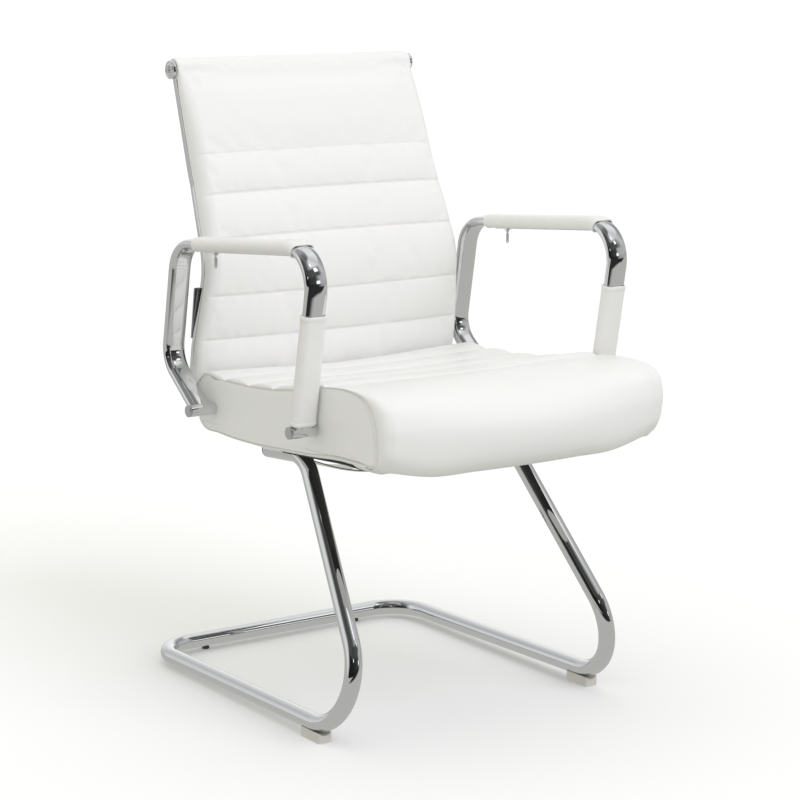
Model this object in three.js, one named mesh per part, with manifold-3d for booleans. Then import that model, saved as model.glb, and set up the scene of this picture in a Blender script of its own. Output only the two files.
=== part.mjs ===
// Sled base visitor chair: a bent tube cantilever base carries an upholstered seat, and two
// side rails rise from inside the seat to hold a ribbed back. Lengths in millimetres, +Z up.
// The chair faces -Y. The sitter's left is +X. Inside the group Y counts rearward from a line
// just ahead of the front feet, and the group is moved so that the origin lies on the floor
// under the middle of the whole chair.
import * as THREE from 'three';
import { mergeVertices } from 'three/addons/utils/BufferGeometryUtils.js';
import Module from 'manifold-3d';

const wasm = await Module();
wasm.setup();

// Fits
const running_gap = 0.3;
const overrun = 4;
const weld_tolerance = 0.0001;
const bend_step = Math.PI / 18;
const fine_bend_step = Math.PI / 24;
const tube_sides = 14;
const bore_sides = 8;
const drill_sides = 8;

// Sled base: one tube bent six times, open at both run ends
const tube_diameter = 25.4;
const tube_wall = 2;
const run_end_y = 250;
const run_end_half_width = 182.8;
const run_end_height = 379.9;
const leg_top_y = 155.5;
const leg_top_half_width = 178.6;
const leg_top_height = 386;
const leg_top_bend = 60;
const loop_front_y = -127;
const loop_front_half_width = 243;
const loop_front_height = 26;
const loop_front_bend = 83;
const loop_rear_y = 518.5;
const loop_rear_half_width = 239.5;
const loop_rear_height = 16.7;
const loop_rear_bend = 68;

// Plugs in the run ends
const plug_flange = 3;
const plug_spigot = 9;
const plug_wall = 2.4;

// Front feet: saddle blocks with a stem pushed into the tube
const foot_width = 22;
const foot_length = 50;
const foot_height = 15;
const foot_front_y = 7;
const foot_stem_diameter = 8;
const foot_stem_rise = 5;
const foot_corner = 3;

// Rear glides under the cross tube
const glide_half_spacing = 144;
const glide_diameter = 12;
const glide_stem_diameter = 6;
const glide_stem_rise = 5;
const glide_edge = 1;

// Bowed cross plate welded between the runs
const bow_plate_thickness = 3;
const bow_plate_front = 10;
const bow_plate_depth = 80;
const bow_plate_end_half_width = 171.5;
const bow_plate_end_drop = 8;
const bow_plate_flat_half_width = 86;
const bow_plate_drop = 40.5;
const bow_plate_bend = 305;

// Seat board, stretchers and the bolts that hold them to the runs
const board_thickness = 12;
const board_half_width = 205;
const board_front_reach = 216;
const board_rear_reach = 146;
const board_corner = 30;
const bolt_front_reach = 31;
const bolt_rear_reach = 74;
const bolt_diameter = 6;
const bolt_head_diameter = 10;
const bolt_head_height = 4;
const bolt_access_diameter = 12;
const bolt_socket = 4;
const bolt_socket_depth = 2.4;
const nut_across_flats = 10;
const nut_height = 5;
const bolt_past_nut = 1.2;
const stretcher_thickness = 4;
const stretcher_width = 30;
const stretcher_flat_half_width = 198;
const stretcher_shoulder_half_width = 214;

// Seat cushion: side panels closed by a welt, a ribbed top and a front roll
const seat_half_width = 243.6;
const seat_front_y = -127;
const seat_rear_y = 359;
const seat_bottom_height = 403;
const seat_roll_height = 521;
const seat_rib_pitch = 69;
const seat_rib_count = 5;
const seat_first_seam_y = 5;
const seat_seam_depth = 3.4;
const seat_seam_dish = 4;
const welt_rise = 1.4;
const welt_inset = 7;
const welt_groove = 2.2;
const roll_front_y = -174;
const roll_bottom_height = 404;
const roll_side_front_y = -149;
const roll_side_bottom_height = 417;
const roll_side_bulge = 8;
const seat_underside_rise = 1;

// Side rails: flat bars that run inside the seat and bend up behind the back
const rail_thickness = 8;
const rail_depth = 13;
const rail_in_seat = 10.6;
const rail_high_narrowing = 22;
const rail_top_narrowing = 24;
const rail_narrow_from_height = 520;
const rail_narrow_below_top = 171.5;
const rail_front_y = 4;
const rail_rear_y = 395;
const rail_rear_height = 434.3;
const rail_seat_bend = 45;
const lumbar_y = 362.3;
const lumbar_height = 641.4;
const rail_lumbar_bend = 100;
const upper_back_y = 422;
const upper_back_height = 775;
const rail_upper_bend = 300;
const rail_eye_diameter = 24;

// Top tube, end discs and their screws
const top_tube_y = 471.4;
const top_tube_height = 931.5;
const top_tube_diameter = 16;
const top_tube_wall = 2;
const top_tube_end_insert = 16;
const disc_diameter = 28;
const disc_thickness = 5.7;
const disc_groove_radius = 10;
const disc_groove_width = 1.6;
const disc_groove_depth = 0.8;
const disc_edge = 1;
const disc_screw_diameter = 5;
const disc_screw_head_diameter = 9;
const disc_screw_head_height = 2.6;
const disc_screw_length = 15;
const disc_screw_socket = 3;
const disc_screw_socket_depth = 1.8;

// Back cushion: a ribbed pad in front of the rails, rolled round the top tube
const back_bottom_reach = 25;
const back_rear_cover = 4;
const back_roll_radius = 17.6;
const back_low_thickness = 23;
const back_lumbar_thickness = 31;
const back_high_thickness = 41;
const back_side_margin = 1;
const back_low_side_margin = 3;
const back_crown = 7;
const back_first_seam_reach = 103;
const back_rib_pitch = 69;
const back_rib_count = 4;
const back_seam_depth = 3.4;
const back_edge_softness = 9;

// Lumbar cross plate screwed to the rear of the rails
const lumbar_plate_low_height = 532;
const lumbar_plate_high_height = 610;
const lumbar_plate_thickness = 3;
const lumbar_plate_flange = 23;
const lumbar_plate_shoulder_half_width = 197;
const lumbar_plate_shoulder_set = 22;
const lumbar_plate_bow = 26;
const lumbar_plate_end_bend = 14;
const lumbar_screw_inset = 16;
const lumbar_screw_diameter = 5;
const lumbar_screw_head_diameter = 8;
const lumbar_screw_head_height = 2.8;
const lumbar_screw_socket = 3;

// Arms: flat oval tube loops with a cross peg at each end
const arm_off_rail = 27.5;
const arm_tube_width = 35;
const arm_tube_thickness = 16;
const arm_tube_wall = 2;
const arm_rear_peg_y = 310;
const arm_rear_peg_height = 438.5;
const arm_rear_elbow_y = 395;
const arm_rear_elbow_height = 503;
const arm_rear_elbow_bend = 45;
const arm_rear_top_y = 361;
const arm_rear_top_height = 682;
const arm_rear_top_bend = 50;
const arm_front_top_y = -21.5;
const arm_front_top_height = 714;
const arm_front_top_bend = 52;
const arm_front_peg_y = 28;
const arm_front_peg_height = 452.5;
const peg_diameter = 18;
const peg_past_arm = 23.5;
const peg_bore_diameter = 13.4;
const peg_bore_depth = 12;
const arm_vent_diameter = 4;
const arm_vent_reach = 20;
const arm_bolt_diameter = 8;
const arm_bolt_head_diameter = 12.6;
const arm_bolt_head_height = 6;
const arm_bolt_socket = 6;
const arm_bolt_socket_depth = 3;
const arm_bolt_past_rail = 2;
const arm_cap_thickness = 2.6;
const arm_cap_spigot = 2.4;
const arm_cap_seam = 0.6;

// Leather sleeves over the arm tubes, the zip under each arm rest and its slider
const sleeve_wall = 1.7;
const sleeve_hem = 0.7;
const sleeve_hem_length = 5;
const top_sleeve_rear_setback = 24;
const top_sleeve_into_bend = 22;
const front_sleeve_setback = 27;
const zip_chain_width = 5;
const zip_chain_thickness = 1.5;
const zip_chain_rear_margin = 4;
const zip_chain_front_margin = 3;
const zip_slider_length = 9;
const zip_slider_plate = 1.2;
const zip_slider_flange = 1;
const zip_slider_from_chain_end = 28;
const zip_lug_thickness = 1;
const zip_lug_radius = 1.6;
const zip_lug_drop = 2.2;
const zip_bar_diameter = 1.4;
const zip_eye_wall = 0.9;
const zip_eye_width = 2.6;
const zip_tab_length = 19;
const zip_tab_width = 5;
const zip_tab_thickness = 1.2;
const zip_tab_neck = 3.2;
const zip_tab_hole_diameter = 2;

// Shares of the seat's depth and height: the side panel's outline from the lower rear corner
// along the underside to the front and over the nose to the last point before the first seam
const seat_side_shares = [
  [0.994, 0.085], [0.971, 0.02], [0.879, 0], [0.673, 0], [0.512, 0.042], [0.331, 0.102],
  [0.2, 0.169], [0.076, 0.182], [0.008, 0.178], [0, 0.356], [0.004, 0.517], [0.016, 0.686],
  [0.035, 0.814], [0.066, 0.924], [0.117, 0.983], [0.179, 0.996], [0.228, 0.985],
];
// The same points on the front roll beside the welt, as shares of the reach from the first
// seam to the roll's front and of the rise from its lower edge to its top
const roll_side_shares = [
  [0.79, 0], [0.9, 0.125], [0.972, 0.3], [0.995, 0.5], [1, 0.64], [0.965, 0.84], [0.87, 0.955],
  [0.68, 1], [0.42, 1.01], [0.17, 0.985],
];
// The same points in the middle of the seat, where the roll reaches furthest forward
const roll_middle_shares = [
  [0.69, 0.05], [0.86, 0], [0.955, 0.16], [1, 0.4], [0.985, 0.64], [0.905, 0.83], [0.76, 0.94],
  [0.53, 1], [0.3, 1.005], [0.12, 0.98],
];
// Seat top at each seam as shares of the seat's height, from the first seam to the crease
const seat_seam_height_shares = [0.965, 0.846, 0.76, 0.715, 0.7, 0.655];
// Rear face of the seat as shares of its height
const seat_rear_height_shares = [0.59, 0.5, 0.3];
// Section of one rib: share of the pitch and share of the seam depth that is left there
const rib_shares = [[0, 1], [0.13, 0.38], [0.5, 0], [0.87, 0.38]];
// Places across the seat as shares of its half width, between the welt and the middle
const seat_station_shares = [0.955, 0.88, 0.68, 0.36];
// Half section of the back pad: across as a share of the half width, through as a share of
// the thickness in front of the rails, and the share of the crown and seam that shows there
const back_face_shares = [
  [0, 1, 1], [0.3, 1, 0.92], [0.6, 1, 0.66], [0.85, 1, 0.25],
];
// Length of the pad above the last seam as shares, up to the middle of the top tube
const back_upper_shares = [0, 0.06, 0.3, 0.6, 0.82, 1];
// Turn round the top tube as shares of a quarter turn
const back_roll_turn_shares = [0.3, 0.6, 0.85];

// Sizes that follow
const tube_radius = tube_diameter / 2;
const run_length = run_end_y - leg_top_y;
const run_pitch = Math.atan2(run_end_height - leg_top_height, run_length);
const run_spread = (run_end_half_width - leg_top_half_width) / run_length;
const board_underside = tube_radius + running_gap;
const stretcher_underside = board_underside + board_thickness + running_gap;
const nut_underside = stretcher_underside + stretcher_thickness + running_gap;
const rail_half = rail_thickness / 2;
const rail_pitch = (arm_front_peg_height - arm_rear_peg_height) / (arm_front_peg_y - arm_rear_peg_y);
const rail_front_height = arm_rear_peg_height + rail_pitch * (rail_front_y - arm_rear_peg_y);
const rail_half_width_low = seat_half_width - rail_in_seat;
const rail_half_width_high = rail_half_width_low - rail_high_narrowing;
const rail_half_width_top = rail_half_width_low - rail_top_narrowing;
const rail_narrow_to_height = top_tube_height - rail_narrow_below_top;
const rail_outer_low = rail_half_width_low + rail_half;
const arm_centre_half_width = rail_outer_low + arm_off_rail;
const peg_outer_half_width = arm_centre_half_width + peg_past_arm;
const eye_half_width = rail_half_width_top;
const disc_inner_half_width = eye_half_width + rail_half + running_gap;
const arm_sleeve_growth = running_gap + sleeve_wall;

// Bent centre line: straight runs joined by arcs, with stations only where the line turns
class BentPath extends THREE.Curve {
  constructor(corners, radii, turn = bend_step) {
    super();
    this.spots = [];
    this.ways = [];
    this.bends = [];
    const last = corners.length - 1;
    this.station(corners[0], direction(corners[0], corners[1]));
    for (let i = 1; i < last; i++) {
      this.bend(corners[i - 1], corners[i], corners[i + 1], radii[i - 1], turn);
    }
    this.station(corners[last], direction(corners[last - 1], corners[last]));
    this.measure();
  }

  station(spot, way) {
    this.spots.push(spot.clone());
    this.ways.push(way.clone());
  }

  bend(before, corner, after, radius, turn) {
    const into = direction(before, corner);
    const out = direction(corner, after);
    const angle = into.angleTo(out);
    const setback = radius * Math.tan(angle / 2);
    const side = out.clone().addScaledVector(into, -out.dot(into)).normalize();
    const start = corner.clone().addScaledVector(into, -setback);
    const centre = start.clone().addScaledVector(side, radius);
    const steps = Math.max(2, Math.ceil(angle / turn));
    const first = this.spots.length;
    for (let i = 0; i <= steps; i++) {
      const a = angle * i / steps;
      const spot = centre.clone().addScaledVector(side, -radius * Math.cos(a));
      spot.addScaledVector(into, radius * Math.sin(a));
      const way = into.clone().multiplyScalar(Math.cos(a)).addScaledVector(side, Math.sin(a));
      this.station(spot, way);
    }
    this.bends.push([first, this.spots.length - 1]);
  }

  measure() {
    this.reach = [0];
    for (let i = 1; i < this.spots.length; i++) {
      this.reach.push(this.reach[i - 1] + this.spots[i].distanceTo(this.spots[i - 1]));
    }
    this.length = this.reach[this.reach.length - 1];
  }

  // Spot and way at a distance along the line
  at(distance) {
    let i = 1;
    while (i < this.reach.length - 1 && this.reach[i] < distance) i++;
    const share = (distance - this.reach[i - 1]) / (this.reach[i] - this.reach[i - 1]);
    const spot = this.spots[i - 1].clone().lerp(this.spots[i], share);
    const way = this.ways[i - 1].clone().lerp(this.ways[i], share).normalize();
    return { spot, way };
  }

  // The part of the line between two distances, with further stations at given distances
  piece(from, to, extra = []) {
    const inner = this.reach.filter((d) => d > from + weld_tolerance && d < to - weld_tolerance);
    const marks = [from, ...extra, ...inner, to].sort((a, b) => a - b);
    const part = new BentPath([this.spots[0], this.spots[1]], []);
    part.spots = [];
    part.ways = [];
    part.bends = [];
    for (const mark of marks) {
      const { spot, way } = this.at(mark);
      part.station(spot, way);
    }
    part.measure();
    return part;
  }

  getPointAt(share, target = new THREE.Vector3()) {
    return target.copy(this.spots[Math.round(share * (this.spots.length - 1))]);
  }

  getTangentAt(share, target = new THREE.Vector3()) {
    return target.copy(this.ways[Math.round(share * (this.ways.length - 1))]);
  }
}

function direction(from, to) {
  return to.clone().sub(from).normalize();
}

function point(x, y, z) {
  return new THREE.Vector3(x, y, z);
}

function mix(a, b, share) {
  return a + (b - a) * share;
}

// Outlines
function roundOutline(radius, sides) {
  const points = [];
  for (let i = 0; i < sides; i++) {
    const a = 2 * Math.PI * (i + 0.5) / sides;
    points.push(new THREE.Vector2(radius * Math.cos(a), radius * Math.sin(a)));
  }
  return points;
}

function ovalOutline(width, thickness, end_steps) {
  const radius = thickness / 2;
  const centre = width / 2 - radius;
  const points = [];
  for (const side of [1, -1]) {
    for (let i = 0; i <= end_steps; i++) {
      const a = Math.PI * (i / end_steps - 0.5);
      points.push(new THREE.Vector2(side * (centre + radius * Math.cos(a)), side * radius * Math.sin(a)));
    }
  }
  return points;
}

function barOutline(width, height) {
  const x = width / 2;
  const y = height / 2;
  return [[-x, -y], [x, -y], [x, y], [-x, y]].map(([a, b]) => new THREE.Vector2(a, b));
}

function roundedPlate(half_width, front, rear, corner) {
  const shape = new THREE.Shape();
  shape.moveTo(-half_width + corner, front);
  shape.lineTo(half_width - corner, front);
  shape.absarc(half_width - corner, front + corner, corner, -Math.PI / 2, 0);
  shape.absarc(half_width - corner, rear - corner, corner, 0, Math.PI / 2);
  shape.absarc(-half_width + corner, rear - corner, corner, Math.PI / 2, Math.PI);
  shape.absarc(-half_width + corner, front + corner, corner, Math.PI, Math.PI * 1.5);
  return shape;
}

// Solids from outlines
function sweep(path, outline, hole) {
  const shape = new THREE.Shape(outline);
  if (hole) shape.holes.push(new THREE.Path(hole));
  const steps = path.spots.length - 1;
  return new THREE.ExtrudeGeometry(shape, { steps, extrudePath: path, curveSegments: 1 });
}

function slab(shape, depth, curve_segments = 4) {
  return new THREE.ExtrudeGeometry(shape, { depth, bevelEnabled: false, curveSegments: curve_segments });
}

// Cylinder between two points
function rod(from, to, radius, sides = 16) {
  const geometry = new THREE.CylinderGeometry(radius, radius, from.distanceTo(to), sides);
  const turn = new THREE.Quaternion().setFromUnitVectors(point(0, 1, 0), direction(from, to));
  geometry.applyQuaternion(turn);
  const middle = from.clone().add(to).multiplyScalar(0.5);
  return geometry.translate(middle.x, middle.y, middle.z);
}

// Radius of a faceted drill that clears a round shank
function clearRadius(diameter) {
  return (diameter / 2 + running_gap) / Math.cos(Math.PI / drill_sides);
}

function block(low, high) {
  const size = high.clone().sub(low);
  const middle = low.clone().add(high).multiplyScalar(0.5);
  return new THREE.BoxGeometry(size.x, size.y, size.z).translate(middle.x, middle.y, middle.z);
}

// Turned piece: a profile of radius and height, revolved about Z
function turned(profile, sides = 16) {
  const points = profile.map(([r, z]) => new THREE.Vector2(r, z));
  return facingOut(cleaned(new THREE.LatheGeometry(points, sides).rotateX(Math.PI / 2)));
}

// Skin over a row of rings, each with as many points, closed by a fan at either end
function loft(rings) {
  const count = rings[0].length;
  const corners = rings.flat();
  const triangles = [];
  for (let r = 0; r < rings.length - 1; r++) {
    for (let i = 0; i < count; i++) {
      const j = (i + 1) % count;
      const a = r * count + i;
      const b = r * count + j;
      triangles.push(a, b, b + count, a, b + count, a + count);
    }
  }
  for (const [first, flip] of [[0, true], [(rings.length - 1) * count, false]]) {
    const hub = corners.length;
    const middle = point(0, 0, 0);
    for (let i = 0; i < count; i++) middle.add(corners[first + i]);
    corners.push(middle.divideScalar(count));
    for (let i = 0; i < count; i++) {
      const j = (i + 1) % count;
      if (flip) triangles.push(hub, first + j, first + i);
      else triangles.push(hub, first + i, first + j);
    }
  }
  const geometry = new THREE.BufferGeometry().setFromPoints(corners);
  geometry.setIndex(triangles);
  return facingOut(geometry);
}

function facingOut(geometry) {
  const p = geometry.attributes.position;
  const index = Array.from(geometry.index.array);
  const a = point(0, 0, 0);
  const b = point(0, 0, 0);
  const c = point(0, 0, 0);
  let volume = 0;
  for (let i = 0; i < index.length; i += 3) {
    a.fromBufferAttribute(p, index[i]);
    b.fromBufferAttribute(p, index[i + 1]);
    c.fromBufferAttribute(p, index[i + 2]);
    volume += a.dot(b.cross(c));
  }
  if (volume < 0) {
    for (let i = 0; i < index.length; i += 3) [index[i + 1], index[i + 2]] = [index[i + 2], index[i + 1]];
  }
  geometry.setIndex(index);
  return geometry;
}

// Shared corners merged and collapsed triangles dropped
function cleaned(geometry) {
  const bare = geometry.clone();
  bare.deleteAttribute('normal');
  bare.deleteAttribute('uv');
  const merged = mergeVertices(bare, weld_tolerance);
  const index = merged.index.array;
  const kept = [];
  for (let i = 0; i < index.length; i += 3) {
    const [a, b, c] = [index[i], index[i + 1], index[i + 2]];
    if (a !== b && b !== c && c !== a) kept.push(a, b, c);
  }
  merged.setIndex(kept);
  return merged;
}

function solid(geometry) {
  const clean = cleaned(geometry);
  const vertProperties = new Float32Array(clean.attributes.position.array);
  const triVerts = new Uint32Array(clean.index.array);
  return new wasm.Manifold(new wasm.Mesh({ numProp: 3, vertProperties, triVerts }));
}

function geometryOf(body) {
  const mesh = body.getMesh();
  const geometry = new THREE.BufferGeometry();
  geometry.setAttribute('position', new THREE.BufferAttribute(new Float32Array(mesh.vertProperties), 3));
  geometry.setIndex(new THREE.BufferAttribute(new Uint32Array(mesh.triVerts), 1));
  return geometry;
}

function cut(geometry, tools) {
  let body = solid(geometry);
  for (const tool of tools) body = body.subtract(solid(tool));
  return geometryOf(body);
}

function joined(geometries) {
  let body = solid(geometries[0]);
  for (const other of geometries.slice(1)) body = body.add(solid(other));
  return geometryOf(body);
}

// The same piece on the other side of the chair
function mirrored(geometry) {
  const other = geometry.clone().scale(-1, 1, 1);
  if (!other.index) other.setIndex([...Array(other.attributes.position.count).keys()]);
  const index = Array.from(other.index.array);
  for (let i = 0; i < index.length; i += 3) [index[i + 1], index[i + 2]] = [index[i + 2], index[i + 1]];
  other.setIndex(index);
  return other;
}

// From the seat frame, whose Y runs along the base's upper runs, to the chair
const seat_frame = new THREE.Matrix4().makeTranslation(0, leg_top_y, leg_top_height)
  .multiply(new THREE.Matrix4().makeRotationX(run_pitch));

function onRuns(geometry) {
  return geometry.clone().applyMatrix4(seat_frame);
}

// From a frame whose Z leaves a spot along a way, to the chair
function facing(geometry, spot, way) {
  const turn = new THREE.Quaternion().setFromUnitVectors(point(0, 0, 1), way);
  return geometry.clone().applyQuaternion(turn).translate(spot.x, spot.y, spot.z);
}

// Screws and nuts, with the seat of the head at height zero and the shank pointing down
function capScrew(diameter, length, head_diameter, head_height, socket, socket_depth) {
  const r = head_diameter / 2;
  const bevel = head_height / 4;
  const body = turned([
    [0, -length], [diameter / 2, -length], [diameter / 2, 0], [r, 0],
    [r, head_height - bevel], [r - bevel, head_height], [0, head_height],
  ], 10);
  const key = new THREE.CylinderGeometry(socket / Math.sqrt(3), socket / Math.sqrt(3),
    socket_depth + overrun, 6).rotateX(Math.PI / 2);
  key.translate(0, 0, head_height - socket_depth + (socket_depth + overrun) / 2);
  return cut(body, [key]);
}

function hexPrism(across_flats, height, grow = 0) {
  const radius = across_flats / Math.sqrt(3) + grow;
  return new THREE.CylinderGeometry(radius, radius, height + 2 * grow, 6).rotateX(Math.PI / 2)
    .translate(0, 0, height / 2);
}

// Sled base
const sled_corners = [
  point(run_end_half_width, run_end_y, run_end_height),
  point(leg_top_half_width, leg_top_y, leg_top_height),
  point(loop_front_half_width, loop_front_y, loop_front_height),
  point(loop_rear_half_width, loop_rear_y, loop_rear_height),
];
const sled_path = new BentPath(
  [...sled_corners, ...sled_corners.map((c) => point(-c.x, c.y, c.z)).reverse()],
  [leg_top_bend, loop_front_bend, loop_rear_bend, loop_rear_bend, loop_front_bend, leg_top_bend],
);
const loop_share = (y) => (y - loop_front_y) / (loop_rear_y - loop_front_y);
const loopX = (y) => mix(loop_front_half_width, loop_rear_half_width, loop_share(y));
const loopZ = (y) => mix(loop_front_height, loop_rear_height, loop_share(y));
const runX = (reach) => leg_top_half_width + run_spread * reach;
const foot_middle_y = foot_front_y + foot_length / 2;
const bolt_places = [['front', bolt_front_reach], ['rear', bolt_rear_reach]];
const run_bore = (tube_radius - tube_wall) * Math.cos(Math.PI / bore_sides);
const bolt_seat = Math.sqrt(run_bore ** 2 - (bolt_head_diameter / 2) ** 2);

function sledTools() {
  const tools = [];
  for (const side of [1, -1]) {
    for (const [, reach] of bolt_places) {
      const x = side * runX(reach);
      const drill = rod(point(x, reach, 0), point(x, reach, tube_diameter),
        clearRadius(bolt_diameter), drill_sides);
      const access = rod(point(x, reach, -tube_diameter), point(x, reach, 0),
        bolt_access_diameter / 2, 20);
      tools.push(onRuns(drill), onRuns(access));
    }
    const foot_x = side * loopX(foot_middle_y);
    const foot_z = loopZ(foot_middle_y);
    tools.push(rod(point(foot_x, foot_middle_y, foot_z - tube_radius - overrun),
      point(foot_x, foot_middle_y, foot_z), clearRadius(foot_stem_diameter), drill_sides));
    const glide_x = side * glide_half_spacing;
    tools.push(rod(point(glide_x, loop_rear_y, loop_rear_height - tube_radius - overrun),
      point(glide_x, loop_rear_y, loop_rear_height), clearRadius(glide_stem_diameter), drill_sides));
  }
  return tools;
}

const sled_frame = cut(
  sweep(sled_path, roundOutline(tube_radius, tube_sides), roundOutline(tube_radius - tube_wall, bore_sides)),
  sledTools(),
);

const plug_bore = run_bore - running_gap;
const plug_body = facing(
  turned([
    [0, running_gap + plug_flange], [tube_radius - plug_wall / 2, running_gap + plug_flange],
    [tube_radius, running_gap + plug_flange - plug_wall / 2], [tube_radius, running_gap],
    [plug_bore, running_gap], [plug_bore, -plug_spigot], [plug_bore - plug_wall, -plug_spigot],
    [plug_bore - plug_wall, 0], [0, 0],
  ], 16),
  sled_corners[0], direction(sled_corners[1], sled_corners[0]),
);

// Front foot: block with rounded corners, hollowed to the tube, and its stem
function frontFoot() {
  const x = loopX(foot_middle_y);
  const z = loopZ(foot_middle_y);
  const shape = roundedPlate(foot_width / 2, 0, foot_length, foot_corner);
  const pad = slab(shape, foot_height, 2).translate(x, foot_front_y, 0);
  const line = direction(sled_corners[2], sled_corners[3]);
  const middle = point(x, foot_middle_y, z);
  const saddle = rod(middle.clone().addScaledVector(line, -foot_length),
    middle.clone().addScaledVector(line, foot_length), tube_radius + running_gap, 24);
  const top = z - tube_radius + tube_wall + foot_stem_rise;
  const stem = rod(point(x, foot_middle_y, foot_corner), point(x, foot_middle_y, top),
    foot_stem_diameter / 2, 12);
  return joined([cut(pad, [saddle]), stem]);
}

// Rear glide: a turned button with a stem, hollowed to the cross tube
function rearGlide() {
  const underside = loop_rear_height - tube_radius;
  const r = glide_diameter / 2;
  const top = underside + tube_wall + glide_stem_rise;
  const crown = underside + glide_edge;
  const button = turned([[0, 0], [r - glide_edge, 0], [r, glide_edge], [r, crown], [0, crown]], 16);
  const tube = rod(point(-glide_diameter, 0, loop_rear_height), point(glide_diameter, 0, loop_rear_height),
    tube_radius + running_gap, 24);
  const stem = rod(point(0, 0, glide_edge), point(0, 0, top), glide_stem_diameter / 2, 12);
  return joined([cut(button, [tube]), stem]).translate(glide_half_spacing, loop_rear_y, 0);
}

// Bowed plate between the runs, its ends shaped to the tubes
function bowPlate() {
  const y = bow_plate_front + bow_plate_depth / 2;
  const end = bow_plate_end_half_width;
  const flat = bow_plate_flat_half_width;
  const path = new BentPath([
    point(-end, y, -bow_plate_end_drop), point(-flat, y, -bow_plate_drop),
    point(flat, y, -bow_plate_drop), point(end, y, -bow_plate_end_drop),
  ], [bow_plate_bend, bow_plate_bend], fine_bend_step);
  const plate = sweep(path, barOutline(bow_plate_depth, bow_plate_thickness));
  const tube = sweep(sled_path, roundOutline(tube_radius + running_gap, tube_sides));
  return cut(onRuns(plate), [tube]);
}

// Seat board on the runs
function seatBoard(grow = 0) {
  const shape = roundedPlate(board_half_width + grow, -board_front_reach - grow,
    board_rear_reach + grow, board_corner);
  const board = slab(shape, board_thickness + 2 * grow, 3).translate(0, 0, board_underside - grow);
  return board;
}

function boardDrills() {
  const drills = [];
  for (const side of [1, -1]) {
    for (const [, reach] of bolt_places) {
      const x = side * runX(reach);
      drills.push(rod(point(x, reach, 0), point(x, reach, stretcher_underside + tube_diameter),
        clearRadius(bolt_diameter), drill_sides));
    }
  }
  return drills;
}

// Stretcher: a flat bar on the board, stepped up at both ends to lie under the side rails
const rail_slope_angle = Math.atan(rail_pitch);
const railZ = (y) => arm_rear_peg_height + rail_pitch * (y - arm_rear_peg_y);
function stretcher(reach, grow = 0) {
  const spot = point(0, reach, 0).applyMatrix4(seat_frame);
  const tilt_loss = stretcher_width * Math.abs(Math.tan(rail_slope_angle - run_pitch));
  const rail_underside = railZ(spot.y) - rail_depth / 2;
  const rise = (rail_underside - spot.z) * Math.cos(run_pitch) - 2 * running_gap - tilt_loss;
  const low = stretcher_underside;
  const high = rise - stretcher_thickness;
  const flat = stretcher_flat_half_width;
  const shoulder = stretcher_shoulder_half_width;
  const end = rail_outer_low - running_gap;
  const t = stretcher_thickness;
  const lower = [[0, low], [flat, low], [shoulder, high], [end, high]];
  const upper = [[end, high + t], [shoulder - t / 2, high + t], [flat - t / 2, low + t], [0, low + t]];
  const half = [
    ...lower.map(([x, z]) => [x + (x > 0 ? grow : 0), z - grow]),
    ...upper.map(([x, z]) => [x > flat ? x + grow * (x === end ? 1 : -1) : x - (x > 0 ? grow : 0), z + grow]),
  ];
  const outline = half.concat(half.slice(1, -1).reverse().map(([x, z]) => [-x, z]));
  const shape = new THREE.Shape(outline.map(([x, z]) => new THREE.Vector2(x, z)));
  return slab(shape, stretcher_width + 2 * grow).rotateX(Math.PI / 2)
    .translate(0, reach + stretcher_width / 2 + grow, 0);
}

// Frame bolt, its head inside the run, through board and stretcher
const frame_bolt_length = nut_underside + nut_height + bolt_past_nut - bolt_seat + running_gap;
function frameBolt(reach) {
  const bolt = capScrew(bolt_diameter, frame_bolt_length, bolt_head_diameter, bolt_head_height,
    bolt_socket, bolt_socket_depth);
  return onRuns(bolt.rotateX(Math.PI).translate(runX(reach), reach, bolt_seat - running_gap));
}

function frameNut(reach, grow = 0) {
  return hexPrism(nut_across_flats, nut_height, grow).translate(runX(reach), reach, nut_underside);
}

function drilledNut(reach) {
  const x = runX(reach);
  const drill = rod(point(x, reach, nut_underside - overrun),
    point(x, reach, nut_underside + nut_height + overrun), clearRadius(bolt_diameter), drill_sides);
  return onRuns(cut(frameNut(reach), [drill]));
}

// Side rail centre line in the plane of the side, and its distance from the middle of the chair
const rail_path = new BentPath([
  point(0, rail_front_y, rail_front_height), point(0, rail_rear_y, rail_rear_height),
  point(0, lumbar_y, lumbar_height), point(0, upper_back_y, upper_back_height),
  point(0, top_tube_y, top_tube_height),
], [rail_seat_bend, rail_lumbar_bend, rail_upper_bend]);

function railX(z) {
  if (z <= rail_narrow_from_height) return rail_half_width_low;
  if (z <= rail_narrow_to_height) {
    const share = (z - rail_narrow_from_height) / (rail_narrow_to_height - rail_narrow_from_height);
    return mix(rail_half_width_low, rail_half_width_high, share);
  }
  const share = (z - rail_narrow_to_height) / (top_tube_height - rail_narrow_to_height);
  return mix(rail_half_width_high, rail_half_width_top, Math.min(1, share));
}

// The path with added stations where the rails start and stop drawing together
function railLine() {
  const wanted = [rail_narrow_from_height, rail_narrow_to_height];
  const marks = wanted.map((height) => {
    const i = rail_path.spots.findIndex((s, k) => s.z > height && rail_path.ways[k].z > 0);
    const low = rail_path.spots[i - 1];
    const share = (height - low.z) / (rail_path.spots[i].z - low.z);
    return mix(rail_path.reach[i - 1], rail_path.reach[i], share);
  });
  return rail_path.piece(0, rail_path.length, marks);
}

function bowedOut(geometry) {
  const p = geometry.attributes.position;
  for (let i = 0; i < p.count; i++) p.setX(i, p.getX(i) + railX(p.getZ(i)));
  return geometry;
}

const eye_centre = point(0, top_tube_y, top_tube_height);

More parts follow.
